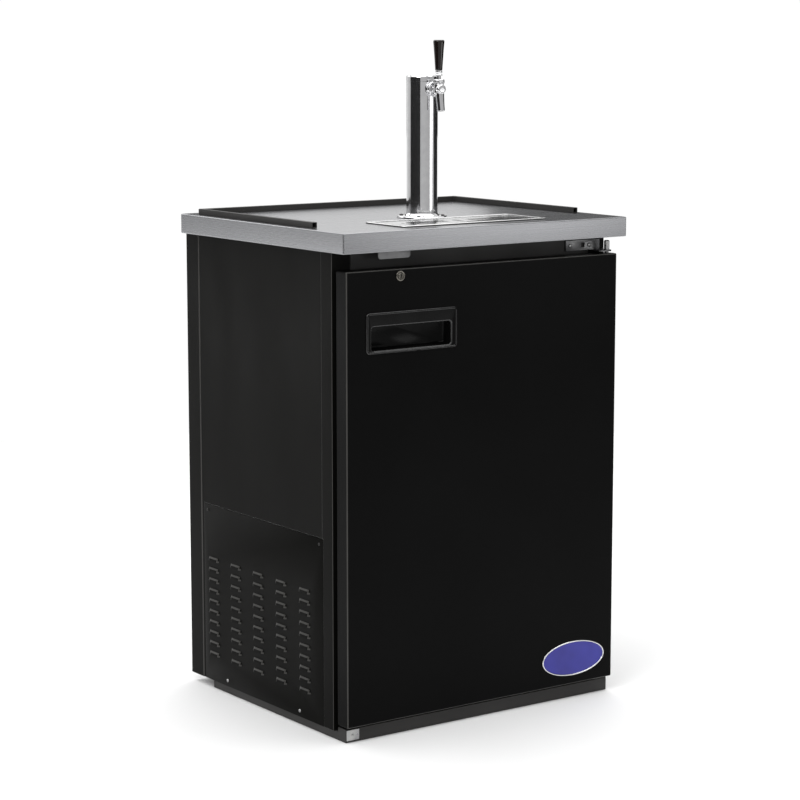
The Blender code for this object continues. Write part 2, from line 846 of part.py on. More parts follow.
def shank():
    """The threaded shank with its outer collar, its nut inside the column, and the tap's coupling nut."""
    turned(
        "shank",
        [
            (0.0125, 0.0410),
            (0.0140, 0.0398),
            (0.0140, 0.0379),
            (0.0110, 0.0379),
            (0.0110, 0.0),
            (0.0035, 0.0),
            (0.0035, 0.0410),
        ],
        (0, -0.0620, TAP_Z),
        "-Y",
        "polished_stainless",
        steps=24,
    )
    inside_nut = cylinder(
        "shank_nut", (0, -0.0865, TAP_Z), 0.0135, 0.0070, "-Y", "zinc_steel", segments=6
    )
    cut(inside_nut, cylinder("nut_thread", (0, -0.0800, TAP_Z), 0.0114, 0.02, "-Y"))
    nut = turned(
        "coupling_nut",
        [
            (0.0145, 0.0085),
            (0.0152, 0.0078),
            (0.0152, 0.0008),
            (0.0145, 0.0),
            (0.0104, 0.0),
            (0.0104, 0.0085),
        ],
        (0, -0.1034, TAP_Z),
        "-Y",
        "polished_stainless",
        steps=32,
    )
    for index in range(3):
        angle = pi / 2 + index * 2 * pi / 3
        spot = (0.0154 * cos(angle), -0.1000, TAP_Z + 0.0154 * sin(angle))
        cut(nut, cylinder(f"spanner_hole_{index}", spot, 0.0020, 0.02, "-Y", segments=12))


def tap(lever_axis, plunger_axis):
    neck_back = -0.1036
    body = cylinder("tap_body", (0, neck_back, TAP_Z), 0.0100, 0.0290, "-Y", "polished_stainless")
    head = cylinder("tap_head", (0, TAP_Y, TAP_Z - 0.0095), 0.0108, 0.0198, tip=0.0098)
    nose = cylinder("tap_nose", (0, neck_back - 0.0285, TAP_Z), 0.0100, 0.0040, "-Y", tip=0.0070)
    lean = Matrix.Rotation(radians(-8), 4, "X")
    spout = cylinder("tap_spout", (0, 0, 0), 0.0076, 0.0400, tip=0.0092)
    spout.matrix_basis = Matrix.Translation((0, -0.1315, TAP_Z - 0.0427)) @ lean
    join(body, head, nose, spout)
    bore = cylinder("tap_bore", (0, neck_back + 0.005, TAP_Z), 0.0062, 0.0265, "-Y")
    lever_way = cylinder("tap_lever_way", (0, TAP_Y, TAP_Z - 0.0060), 0.0066, 0.0200)
    slot_low, slot_high = (-0.0034, TAP_Y - 0.0040, 1.2300), (0.0034, TAP_Y + 0.0085, 1.2440)
    lever_slot = box("tap_lever_slot", slot_low, slot_high)
    spout_way = cylinder("tap_spout_way", (0, 0, -0.0100), 0.0056, 0.0460)
    spout_way.matrix_basis = spout.matrix_basis
    cut(body, bore, lever_way, lever_slot, spout_way)
    turned(
        "tap_bonnet",
        [
            (0.0104, 0.0085),
            (0.0115, 0.0075),
            (0.0115, 0.0010),
            (0.0108, 0.0),
            (0.0067, 0.0),
            (0.0067, 0.0045),
            (0.0088, 0.0085),
        ],
        (0, TAP_Y, LEVER_PIVOT_Z - 0.0042),
        "Z",
        "polished_stainless",
        steps=24,
    )
    turned(
        "tap_plunger",
        [(0.0, 0.0080), (0.0040, 0.0080), (0.0040, 0.0030), (0.0057, 0.0030), (0.0057, 0.0), (0.0, 0.0)],
        (0, -0.1124, TAP_Z),
        "-Y",
        "polished_stainless",
        plunger_axis,
        steps=16,
    )
    ball = 0.0060
    arc = [(ball * sin(a), ball * cos(a)) for a in [radians(angle) for angle in range(45, 156, 15)]]
    ferrule = [
        (0.0, 0.0212),
        (0.0066, 0.0212),
        (0.0066, 0.0165),
        (0.0056, 0.0150),
        (0.0072, 0.0134),
        (0.0072, 0.0118),
    ]
    turned(
        "tap_lever",
        [*ferrule, (0.0040, 0.0112), *arc, (0.0024, -0.0130), (0.0, -0.0130)],
        (0, TAP_Y, LEVER_PIVOT_Z),
        "Z",
        "polished_stainless",
        lever_axis,
        steps=20,
    )
    length = HANDLE_TOP_Z - HANDLE_FOOT_Z - GAP
    turned(
        "tap_handle",
        [
            (0.0, length),
            (0.0090, length),
            (0.0108, length - 0.0014),
            (0.0110, length - 0.0040),
            (0.0070, 0.0),
            (0.0, 0.0),
        ],
        (0, TAP_Y, HANDLE_FOOT_Z + GAP),
        "Z",
        "black_plastic",
        lever_axis,
        steps=32,
    )


def beer_line():
    """The line inside the tower, from the shank down to a union under the roof."""
    route = rounded(
        [
            (0, -0.0616, TAP_Z),
            (0, -0.0500, TAP_Z),
            (0, -0.0500, 1.1500),
            (0, TOWER_Y, 1.0700),
            (0, TOWER_Y, 0.9270),
        ],
        0.0100,
    )
    tube("beer_line", route, 0.0048, "clear_line")
    turned(
        "line_union",
        [
            (0.0, 0.0260),
            (0.0075, 0.0260),
            (0.0110, 0.0230),
            (0.0110, 0.0100),
            (0.0060, 0.0080),
            (0.0060, 0.0),
            (0.0, 0.0),
        ],
        (0, TOWER_Y, 0.9007),
        "Z",
        "polished_stainless",
        steps=12,
    )


# ---------------------------------------------------------------- drip tray
def grille_slots():
    """The middles of the slots: three under the spout, and a long row on each side of them."""
    middle = [SLOT_PITCH * index for index in (-1, 0, 1)]
    row = [SLOT_ROW_START + SLOT_PITCH * index for index in range(SLOTS_IN_ROW)]
    return [-x for x in row] + middle + row


def drip_tray(tray_axis, grille_axis):
    inset = TRAY_LEDGE
    tray = box(
        "drip_tray",
        (-TRAY_HALF, TRAY_FRONT, TOP_Z + GAP),
        (TRAY_HALF, TRAY_BACK, TOP_Z + GAP + 0.0030),
        "brushed_stainless",
        tray_axis,
        bevel=0.0010,
    )
    tub = box(
        "tray_tub",
        (-TRAY_HALF + inset, TRAY_FRONT + inset, TOP_Z - TRAY_DEPTH),
        (TRAY_HALF - inset, TRAY_BACK - inset, TOP_Z + GAP + 0.0010),
    )
    wall = 0.0012
    inside = box(
        "tray_inside",
        (-TRAY_HALF + inset + wall, TRAY_FRONT + inset + wall, TOP_Z - TRAY_DEPTH + wall),
        (TRAY_HALF - inset - wall, TRAY_BACK - inset - wall, TOP_Z + 0.01),
    )
    join(tray, tub)
    cut(tray, inside)
    clear = inset + wall + 0.0005
    grille = box(
        "drip_grille",
        (-TRAY_HALF + clear, TRAY_FRONT + clear, TOP_Z - 0.0002),
        (TRAY_HALF - clear, TRAY_BACK - clear, TOP_Z + 0.0018),
        "brushed_stainless",
        grille_axis,
    )
    y = (TRAY_FRONT + TRAY_BACK) / 2
    half_slot, reach = SLOT_WIDTH / 2, SLOT_LENGTH / 2
    slots = [((x - half_slot, y - reach, 0.9), (x + half_slot, y + reach, 1.0)) for x in grille_slots()]
    cut(grille, boxes("grille_bars", slots))
    for side in (-1, 1):
        cut(grille, cylinder("grille_end_hole", (side * 0.1300, y, 0.9), 0.0035, 0.1, segments=16))


# ---------------------------------------------------------------- cooling inside the compartment
def fan_blades(name, centre, radius, hub, depth, axis, finish, parent, blades=5):
    """A hub with twisted paddle blades, turning about axis through centre."""
    fan = cylinder(name, centre, hub, depth, axis, finish, parent, segments=20)
    turn = TURNS[axis]
    for index in range(blades):
        low = (hub * 0.5, -radius * 0.26, -0.0009)
        high = (radius, radius * 0.26, 0.0009)
        blade = box(f"{name}_blade_{index}", low, high)
        blade.matrix_basis = (
            Matrix.Translation(centre)
            @ turn
            @ Matrix.Translation((0, 0, depth / 2))
            @ Matrix.Rotation(2 * pi * index / blades, 4, "Z")
            @ Matrix.Rotation(radians(28), 4, "X")
        )
        join(fan, blade)
    return fan


def evaporator(fan_axis):
    cover = box(
        "evaporator_cover",
        (-COVER_HALF, COVER_FRONT, COVER_LOW),
        (COVER_HALF, INNER_BACK - GAP, COVER_HIGH),
        "white_plastic",
        bevel=0.0012,
    )
    wall = 0.0015
    inside = box(
        "cover_inside",
        (-COVER_HALF + wall, COVER_FRONT + wall, COVER_LOW + wall),
        (COVER_HALF - wall, INNER_BACK + 0.01, COVER_HIGH - wall),
    )
    fan_hole = cylinder(
        "cover_fan_hole",
        (EVAPORATOR_FAN.x, COVER_FRONT - 0.01, EVAPORATOR_FAN.z),
        EVAPORATOR_FAN_RADIUS + 0.003,
        0.02,
        "Y",
        segments=32,
    )
    slots = [
        ((-0.1650, COVER_FRONT - 0.01, z - 0.003), (-0.0050, COVER_FRONT + 0.01, z + 0.003))
        for z in [0.700 + 0.018 * row for row in range(9)]
    ]
    pipes = box("pipe_way", (0.1230, 0.2280, COVER_LOW - 0.01), (0.1760, INNER_BACK, COVER_LOW + 0.01))
    cut(cover, inside, fan_hole, boxes("cover_slots", slots), pipes)
    coil = box("evaporator_coil", (-0.1750, 0.2000, 0.6700), (0.0150, 0.2400, 0.8750), "liner_aluminium")
    fins = [
        ((-0.1700 + 0.0120 * index, 0.1990, 0.6800), (-0.1640 + 0.0120 * index, 0.2330, 0.8650))
        for index in range(15)
    ]
    cut(coil, boxes("fin_gaps", fins))
    motor_y = 0.2140  # front of the motor
    motor = cylinder(
        "evaporator_fan_motor",
        (EVAPORATOR_FAN.x, motor_y, EVAPORATOR_FAN.z),
        0.0200,
        INNER_BACK - GAP - motor_y,
        "Y",
        "compressor_black",
    )
    join(
        motor,
        box(
            "motor_bracket",
            (EVAPORATOR_FAN.x - 0.0500, INNER_BACK - 0.0023, EVAPORATOR_FAN.z - 0.0100),
            (EVAPORATOR_FAN.x + 0.0500, INNER_BACK - GAP, EVAPORATOR_FAN.z + 0.0100),
        ),
    )
    centre = Vector((EVAPORATOR_FAN.x, motor_y - 0.0170, EVAPORATOR_FAN.z))
    fan_blades(
        "evaporator_fan",
        centre,
        EVAPORATOR_FAN_RADIUS,
        0.0150,
        0.0160,
        "Y",
        "white_plastic",
        fan_axis,
    )


def thermostat(knob_axis):
    x, y, z = THERMOSTAT
    box(
        "thermostat_box",
        (x, y - 0.0300, z - 0.0350),
        (INNER_HALF - GAP, y + 0.0300, z + 0.0350),
        "white_plastic",
        bevel=0.002,
    )
    knob = turned(
        "thermostat_knob",
        [(0.0, 0.0140), (0.0120, 0.0140), (0.0135, 0.0120), (0.0150, 0.0), (0.0, 0.0)],
        (x - GAP, y, z),
        "-X",
        "black_plastic",
        knob_axis,
        steps=24,
    )
    join(knob, box("knob_pointer", (x - 0.0160, y - 0.0015, z), (x - 0.0020, y + 0.0015, z + 0.0160)))


# ---------------------------------------------------------------- condensing unit
def condenser(fan_axis):
    low = MACHINE_FLOOR
    coil = box("condenser_coil", (-0.2700, -0.1000, low), (-0.2250, 0.1600, 0.2200), "liner_aluminium")
    gaps = [
        ((-0.2710, -0.0940 + 0.0170 * index, low + 0.008), (-0.2330, -0.0850 + 0.0170 * index, 0.2120))
        for index in range(15)
    ]
    cut(coil, boxes("coil_gaps", gaps))
    centre = Vector((-0.2240, CONDENSER_FAN.y, CONDENSER_FAN.z))
    shroud = box("fan_shroud", (-0.2240, -0.0950, low), (-0.1900, 0.1550, 0.2200), "black_frame")
    cut(
        shroud,
        box("shroud_inside", (-0.2300, -0.0920, low + 0.003), (-0.1930, 0.1520, 0.2170)),
        cylinder("shroud_hole", centre, CONDENSER_FAN_RADIUS + 0.004, 0.06, "X", segments=32),
    )
    fan_blades(
        "condenser_fan",
        Vector((-0.2120, CONDENSER_FAN.y, CONDENSER_FAN.z)),
        CONDENSER_FAN_RADIUS,
        0.0180,
        0.0180,
        "X",
        "black_plastic",
        fan_axis,
    )
    motor = cylinder(
        "condenser_fan_motor",
        (-0.1895, CONDENSER_FAN.y, CONDENSER_FAN.z),
        0.0260,
        0.0500,
        "X",
        "compressor_black",
    )
    join(
        motor,
        box(
            "motor_stand",
            (-0.1700, CONDENSER_FAN.y - 0.0200, low),
            (-0.1600, CONDENSER_FAN.y + 0.0200, CONDENSER_FAN.z),
        ),
        box(
            "motor_foot",
            (-0.1800, CONDENSER_FAN.y - 0.0300, low),
            (-0.1500, CONDENSER_FAN.y + 0.0300, low + 0.003),
        ),
    )


def compressor():
    low = MACHINE_FLOOR
    x, y = COMPRESSOR.x, COMPRESSOR.y
    shell = turned(
        "compressor",
        [
            (0.0, 0.1650),
            (0.0400, 0.1620),
            (0.0640, 0.1480),
            (0.0760, 0.1200),
            (0.0760, 0.0880),
            (0.0790, 0.0860),
            (0.0790, 0.0820),
            (0.0740, 0.0800),
            (0.0700, 0.0350),
            (0.0400, 0.0100),
            (0.0, 0.0100),
        ],
        (x, y, low),
        "Z",
        "compressor_black",
        steps=32,
    )
    plate_low, plate_high = (x - 0.0900, y - 0.0600, low + 0.0140), (x + 0.0900, y + 0.0600, low + 0.0170)
    web = cylinder("compressor_web", (x, y, low + 0.0100), 0.0500, 0.0300)
    join(shell, box("compressor_plate", plate_low, plate_high), web)
    for name, side_x, side_y in (("a", -1, -1), ("b", -1, 1), ("c", 1, -1), ("d", 1, 1)):
        foot = (x + side_x * 0.0790, y + side_y * 0.0480, low)
        join(shell, cylinder(f"compressor_foot_{name}", foot, 0.0090, 0.0150, segments=12))


def pipes():
    """The copper pipes: compressor to condenser, and evaporator back to compressor."""
    x, y = COMPRESSOR.x, COMPRESSOR.y
    tube(
        "discharge_pipe",
        rounded(
            [
                (x - 0.0765, y - 0.0100, 0.1290),
                (x - 0.1100, y - 0.0100, 0.1290),
                (x - 0.1100, 0.2000, 0.1290),
                (-0.2475, 0.2000, 0.1290),
                (-0.2475, 0.1604, 0.1290),
            ],
            0.0150,
        ),
        0.0032,
        "copper",
    )
    tube(
        "suction_pipe",
        rounded(
            [
                (0.0154, 0.2250, 0.8450),
                (0.0300, 0.2250, 0.8450),
                (0.0300, 0.2250, 0.6800),
                (x + 0.0150, 0.2360, 0.6800),
                (x + 0.0150, 0.2360, 0.1300),
                (x + 0.0150, y + 0.0775, 0.1300),
            ],
            0.0130,
        ),
        0.0045,
        "copper",
    )


def condensate_pan():
    low = MACHINE_FLOOR
    pan = box("condensate_pan", (0.0400, -0.2100, low), (0.2600, -0.0300, low + 0.0350), "black_plastic")
    cut(pan, box("pan_inside", (0.0425, -0.2075, low + 0.0025), (0.2575, -0.0325, low + 0.05)))


# ---------------------------------------------------------------- assembly
def main():
    door_axis = axis_empty("door_axis", HINGE)
    lock_axis = axis_empty("lock_axis", (LOCK.x, CAM_BACK, LOCK.z), door_axis)
    lever_axis = axis_empty("lever_axis", (0, TAP_Y, LEVER_PIVOT_Z))
    plunger_axis = axis_empty("plunger_axis", (0, TAP_Y, TAP_Z))
    cap_axis = axis_empty("cap_axis", (0, TOWER_Y, TOWER_TOP))
    tray_axis = axis_empty("tray_axis", (0, (TRAY_FRONT + TRAY_BACK) / 2, TOP_Z))
    grille_axis = axis_empty("grille_axis", (0, (TRAY_FRONT + TRAY_BACK) / 2, TOP_Z), tray_axis)
    evaporator_axis = axis_empty("evaporator_fan_axis", (EVAPORATOR_FAN.x, COVER_FRONT, EVAPORATOR_FAN.z))
    condenser_axis = axis_empty("condenser_fan_axis", (-0.2120, CONDENSER_FAN.y, CONDENSER_FAN.z))
    knob_axis = axis_empty("knob_axis", THERMOSTAT)

    base_frame()
    floor_pan()
    side_panel("side_panel_left", -1)
    side_panel("side_panel_right", 1)
    louver_panel("louver_panel_left", -1)
    louver_panel("louver_panel_right", 1)
    back_panels()
    insulated_box()
    worktop()
    gallery_rail()
    hinges()
    lock_strike()

    door(door_axis)
    door_handle(door_axis)
    badge(door_axis)
    lock(door_axis, lock_axis)

    tower(cap_axis)
    shank()
    tap(lever_axis, plunger_axis)
    beer_line()
    drip_tray(tray_axis, grille_axis)

    evaporator(evaporator_axis)
    thermostat(knob_axis)
    condenser(condenser_axis)
    compressor()
    pipes()
    condensate_pan()


main()
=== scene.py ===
import json
from math import cos, pi, radians, sin

import bmesh
import bpy
from mathutils import Matrix, Vector

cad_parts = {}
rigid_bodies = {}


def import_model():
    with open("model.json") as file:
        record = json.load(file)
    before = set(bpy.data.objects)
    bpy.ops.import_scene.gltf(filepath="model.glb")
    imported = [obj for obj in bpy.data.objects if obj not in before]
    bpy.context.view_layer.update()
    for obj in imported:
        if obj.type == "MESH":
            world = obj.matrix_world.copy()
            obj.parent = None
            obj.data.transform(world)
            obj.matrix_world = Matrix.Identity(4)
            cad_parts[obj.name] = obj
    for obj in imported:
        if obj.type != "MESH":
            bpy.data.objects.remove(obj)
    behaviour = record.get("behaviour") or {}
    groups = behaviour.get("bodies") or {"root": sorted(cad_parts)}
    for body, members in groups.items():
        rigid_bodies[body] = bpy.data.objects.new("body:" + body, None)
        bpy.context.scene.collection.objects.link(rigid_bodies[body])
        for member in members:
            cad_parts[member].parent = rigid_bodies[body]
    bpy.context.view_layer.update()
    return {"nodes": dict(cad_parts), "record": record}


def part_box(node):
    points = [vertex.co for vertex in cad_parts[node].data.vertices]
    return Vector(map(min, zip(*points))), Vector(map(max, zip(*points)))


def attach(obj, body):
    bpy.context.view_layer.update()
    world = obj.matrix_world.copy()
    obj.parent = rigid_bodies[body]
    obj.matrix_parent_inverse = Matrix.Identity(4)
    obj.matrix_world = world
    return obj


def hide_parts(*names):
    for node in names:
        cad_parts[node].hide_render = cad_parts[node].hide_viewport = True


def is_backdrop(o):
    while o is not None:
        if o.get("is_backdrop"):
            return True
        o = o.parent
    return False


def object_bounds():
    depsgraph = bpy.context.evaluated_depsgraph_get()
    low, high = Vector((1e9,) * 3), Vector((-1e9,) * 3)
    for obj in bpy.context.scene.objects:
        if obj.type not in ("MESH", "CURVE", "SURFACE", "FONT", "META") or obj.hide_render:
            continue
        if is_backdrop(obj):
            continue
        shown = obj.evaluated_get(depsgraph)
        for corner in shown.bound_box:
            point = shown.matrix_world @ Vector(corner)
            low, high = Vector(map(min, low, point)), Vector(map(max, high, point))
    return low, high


for old in list(bpy.data.objects):
    bpy.data.objects.remove(old, do_unlink=True)

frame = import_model()
NODES = frame["nodes"]


# ---- procedural materials
class Look:
    """One Principled material whose colour, roughness and bump vary over the surface."""

    def __init__(self, name, metallic=0.0):
        self.material = bpy.data.materials.new(name)
        self.material.use_nodes = True
        self.tree = self.material.node_tree
        self.shader = self.tree.nodes["Principled BSDF"]
        self.shader.inputs["Metallic"].default_value = metallic
        self.bump_chain = None

    def node(self, kind, **settings):
        made = self.tree.nodes.new(kind)
        for key, value in settings.items():
            setattr(made, key, value)
        return made

    def link(self, source, target):
        self.tree.links.new(source, target)

    def set(self, **sockets):
        for key, value in sockets.items():
            self.shader.inputs[key.replace("_", " ")].default_value = value
        return self

    def coordinates(self, stretch):
        where = self.node("ShaderNodeTexCoord")
        mapping = self.node("ShaderNodeMapping")
        mapping.inputs["Scale"].default_value = stretch
        self.link(where.outputs["Object"], mapping.inputs["Vector"])
        return mapping.outputs["Vector"]

    def noise(self, scale, detail=3.0, stretch=(1, 1, 1), rough=0.5):
        noise = self.node("ShaderNodeTexNoise")
        noise.inputs["Scale"].default_value = scale
        noise.inputs["Detail"].default_value = detail
        noise.inputs["Roughness"].default_value = rough
        self.link(self.coordinates(stretch), noise.inputs["Vector"])
        return noise.outputs["Fac"]

    def cells(self, scale, stretch=(1, 1, 1)):
        cells = self.node("ShaderNodeTexVoronoi", feature="SMOOTH_F1")
        cells.inputs["Scale"].default_value = scale
        self.link(self.coordinates(stretch), cells.inputs["Vector"])
        return cells.outputs["Distance"]

    def ramp(self, value, low, high, start=0.3, end=0.7):
        spread = self.node("ShaderNodeMapRange")
        for key, number in (("From Min", start), ("From Max", end), ("To Min", low), ("To Max", high)):
            spread.inputs[key].default_value = number
        self.link(value, spread.inputs["Value"])
        return spread.outputs["Result"]

    def colour(self, value, first, second, start=0.3, end=0.7):
        ramp = self.node("ShaderNodeValToRGB")
        ramp.color_ramp.elements[0].position = start
        ramp.color_ramp.elements[1].position = end
        ramp.color_ramp.elements[0].color = (*first, 1)
        ramp.color_ramp.elements[1].color = (*second, 1)
        self.link(value, ramp.inputs["Fac"])
        self.link(ramp.outputs["Color"], self.shader.inputs["Base Color"])
        return self

    def roughness(self, value, low, high, start=0.3, end=0.7):
        self.link(self.ramp(value, low, high, start, end), self.shader.inputs["Roughness"])
        return self

    def bump(self, value, distance, strength=1.0):
        bump = self.node("ShaderNodeBump")
        bump.inputs["Strength"].default_value = strength
        bump.inputs["Distance"].default_value = distance
        self.link(value, bump.inputs["Height"])
        if self.bump_chain is not None:
            self.link(self.bump_chain, bump.inputs["Normal"])
        self.bump_chain = bump.outputs["Normal"]
        for item in list(self.shader.inputs["Normal"].links):
            self.tree.links.remove(item)
        self.link(self.bump_chain, self.shader.inputs["Normal"])
        return self


def coated_steel(name, dark, light, rough_low, rough_high, gloss=0.25):
    """Steel sheet under a thin black coat: a fine grain, a slight waviness and faint wiped marks."""
    look = Look(name)
    look.colour(look.noise(4.0, 4.0), dark, light)
    look.roughness(look.noise(9.0, 5.0, (1, 1, 0.35)), rough_low, rough_high)
    look.bump(look.noise(5.0, 1.0), 0.0006, 0.35)
    look.bump(look.noise(1400.0, 2.0), 0.00006, 0.5)
    look.set(Specular_IOR_Level=gloss)
    return look.material


def brushed_steel(name, grain, dark, light, rough_low, rough_high):
    """Brushed stainless: long fine scratches along one axis, over softer cloudy variation."""
    stretch = {"X": (4, 1500, 1500), "Y": (1500, 4, 1500)}[grain]
    look = Look(name, metallic=1.0)
    look.colour(look.noise(1.0, 4.0, stretch), dark, light, 0.25, 0.75)
    look.roughness(look.noise(1.0, 3.0, tuple(s * 0.6 for s in stretch)), rough_low, rough_high)
    look.bump(look.noise(1.0, 2.0, stretch), 0.00001, 0.15)
    look.bump(look.noise(7.0, 1.0), 0.0004, 0.2)
    return look.material


def plated(name, dark, light, rough_low, rough_high, scale=60.0):
    look = Look(name, metallic=1.0)
    look.colour(look.noise(scale, 3.0), dark, light)
    look.roughness(look.noise(scale * 2.0, 4.0), rough_low, rough_high)
    look.bump(look.noise(scale * 12.0, 2.0), 0.00003, 0.3)
    return look.material


def moulded(name, dark, light, rough_low, rough_high, gloss=0.5, grain=1200.0, depth=0.00004):
    look = Look(name)
    look.colour(look.noise(25.0, 3.0), dark, light)
    look.roughness(look.noise(40.0, 4.0), rough_low, rough_high)
    look.bump(look.noise(grain, 2.0), depth, 0.4)
    look.set(Specular_IOR_Level=gloss)
    return look.material


def stucco_sheet():
    """Embossed aluminium liner."""
    look = Look("liner_aluminium", metallic=1.0)
    look.colour(look.noise(6.0, 3.0), (0.60, 0.61, 0.62), (0.72, 0.73, 0.74))
    look.roughness(look.noise(90.0, 4.0), 0.30, 0.46)
    look.bump(look.cells(95.0), 0.0012, 0.55)
    return look.material


def finned():
    """Coil fins: bright sheet edges with thin dark lines of painted shade in the gaps between them."""
    look = Look("coil_fins", metallic=1.0)
    look.colour(look.noise(1.0, 1.0, (900, 900, 4)), (0.18, 0.18, 0.19), (0.66, 0.67, 0.68), 0.40, 0.60)
    look.roughness(look.noise(30.0, 3.0), 0.34, 0.52)
    look.bump(look.noise(1.0, 1.0, (900, 900, 4)), 0.0003, 0.6)
    return look.material


def foam_cells():
    look = Look("foam")
    look.colour(look.noise(14.0, 4.0), (0.62, 0.50, 0.26), (0.74, 0.63, 0.38))
    look.roughness(look.noise(50.0, 3.0), 0.82, 0.95)
    look.bump(look.cells(420.0), 0.0006, 0.5)
    return look.material


def enamel():
    look = Look("badge_enamel")
    look.colour(look.noise(18.0, 2.0), (0.022, 0.020, 0.22), (0.030, 0.030, 0.30))
    look.roughness(look.noise(60.0, 3.0), 0.16, 0.24)
    look.bump(look.noise(240.0, 1.0), 0.00005, 0.2)
    look.set(Coat_Weight=0.3, Coat_Roughness=0.06, Specular_IOR_Level=0.25)
    return look.material


def pale_floor():
    look = Look("pale_floor")
    look.colour(look.noise(0.8, 2.0), (0.80, 0.80, 0.80), (0.83, 0.83, 0.83))
    look.roughness(look.noise(3.0, 2.0), 0.62, 0.72)
    return look.material


def grey(level):
    return (level, level, level)


# the darkest and lightest colour, the lowest and highest roughness, then what differs from the usual
COATED = {
    "black_vinyl_steel": ((0.0030, 0.0029, 0.0025), (0.0042, 0.0041, 0.0036), 0.34, 0.45, 0.035),
    "door_coat": (grey(0.0020), grey(0.0028), 0.30, 0.38, 0.04),
    # a lighter, glossier coat for bevels, folds and louvre hoods: a painted edge highlight
    "painted_edge_highlight": ((0.030, 0.029, 0.027), (0.044, 0.043, 0.040), 0.28, 0.40, 0.30),
    "black_frame": ((0.022, 0.021, 0.020), (0.030, 0.029, 0.028), 0.42, 0.56),
}
BRUSHED = {
    "brushed_x": ("X", (0.268, 0.270, 0.280), (0.290, 0.292, 0.302), 0.25, 0.30),
    "brushed_y": ("Y", (0.268, 0.270, 0.280), (0.290, 0.292, 0.302), 0.25, 0.30),
    "tray_steel": ("X", grey(0.50), grey(0.56), 0.18, 0.26),
    # a dark copy of the tray's steel for the inside of the tub: painted shade
    "painted_tub_shade": ("X", grey(0.05), grey(0.09), 0.36, 0.50),
}
PLATED = {
    "polished_stainless": ((0.70, 0.70, 0.71), (0.78, 0.78, 0.79), 0.05, 0.10),
    "zinc_steel": ((0.34, 0.34, 0.35), (0.50, 0.50, 0.49), 0.26, 0.40),
    "smoked_chrome": ((0.10, 0.095, 0.085), (0.17, 0.16, 0.14), 0.10, 0.18),
    "dull_zinc": ((0.13, 0.13, 0.135), grey(0.19), 0.30, 0.44),
    "copper": ((0.46, 0.20, 0.11), (0.66, 0.34, 0.20), 0.26, 0.42, 35.0),
}
MOULDED = {
    "black_plastic": (grey(0.002), grey(0.004), 0.14, 0.22, 0.07),
    # a lighter, glossier plastic for the handle's rim bevels: a painted highlight
    "plastic_edge_highlight": (grey(0.010), grey(0.015), 0.18, 0.26, 0.55),
    "gloss_handle": ((0.006, 0.004, 0.0035), (0.010, 0.007, 0.006), 0.07, 0.12, 0.5, 300.0),
    "black_rubber": (grey(0.010), grey(0.020), 0.70, 0.86),
    "white_plastic": ((0.62, 0.62, 0.60), (0.70, 0.70, 0.68), 0.38, 0.50),
    "clear_line": ((0.62, 0.64, 0.62), (0.74, 0.76, 0.74), 0.16, 0.28),
    "compressor_black": ((0.007, 0.007, 0.008), (0.013, 0.013, 0.014), 0.26, 0.40, 0.5, 300.0, 0.00015),
    "void_black": (grey(0.0012), grey(0.0025), 0.80, 0.92),
}
MAKERS = ((coated_steel, COATED), (brushed_steel, BRUSHED), (plated, PLATED), (moulded, MOULDED))
LOOKS = {name: maker(name, *numbers) for maker, table in MAKERS for name, numbers in table.items()}
LOOKS["foam"] = foam_cells()
LOOKS["liner_aluminium"] = stucco_sheet()
LOOKS["coil_fins"] = finned()
LOOKS["badge_enamel"] = enamel()

NODE_LOOKS = {
    "door_skin": "door_coat",
    "drip_tray": "brushed_x",
    "drip_grille": "brushed_x",
    "worktop": "brushed_x",
    "evaporator_coil": "coil_fins",
    "condenser_coil": "coil_fins",
    "hinge_bracket_bottom": "black_frame",
    # the header rail takes the lighter black_frame colour: painted light that lifts it out of the apron's
    # shadow
    "header_rail": "black_frame",
    "roof_slab": "liner_aluminium",
}


# ---- shape helpers
def mesh_object(name, shape, turn_faces=True):
    """A new object from the bmesh, which is freed."""
    mesh = bpy.data.meshes.new(name)
    if turn_faces:
        bmesh.ops.recalc_face_normals(shape, faces=shape.faces)
    shape.to_mesh(mesh)
    shape.free()
    obj = bpy.data.objects.new(name, mesh)
    bpy.context.scene.collection.objects.link(obj)
    return obj


def slab(name, low, high, bevel=0.0, segments=3):
    """A box between two corners, with its edges rounded."""
    low, high = Vector(low), Vector(high)
    shape = bmesh.new()
    size = Matrix.Diagonal((*(high - low), 1.0))
    bmesh.ops.create_cube(shape, size=1.0, matrix=Matrix.Translation((low + high) / 2) @ size)
    if bevel:
        edges = shape.edges[:]
        bmesh.ops.bevel(shape, geom=edges, offset=bevel, segments=segments, profile=0.5, affect="EDGES")
    return mesh_object(name, shape)


def arc(middle, radius, start, sweep, steps=6):
    """Points along an arc about the middle, as (u, v)."""
    angles = [start + sweep * step / steps for step in range(steps + 1)]
    return [(middle[0] + radius * cos(angle), middle[1] + radius * sin(angle)) for angle in angles]


def ring_points(half_u, half_v, radius, steps, middle=(0.0, 0.0)):
    """A rounded rectangle's corner arcs, anticlockwise, as (u, v) points."""
    points = []
    for side_u, side_v, start in ((1, 1, 0.0), (-1, 1, pi / 2), (-1, -1, pi), (1, -1, 3 * pi / 2)):
        corner = (middle[0] + side_u * (half_u - radius), middle[1] + side_v * (half_v - radius))
        points += arc(corner, radius, start, pi / 2, steps)
    return points


def upright_loop(x0, z0, x1, z1, radius, y, steps=6):
    """A rounded rectangle between two corners, in the plane at y."""
    ring = ring_points((x1 - x0) / 2, (z1 - z0) / 2, radius, steps, ((x0 + x1) / 2, (z0 + z1) / 2))
    return [(u, y, v) for u, v in ring]


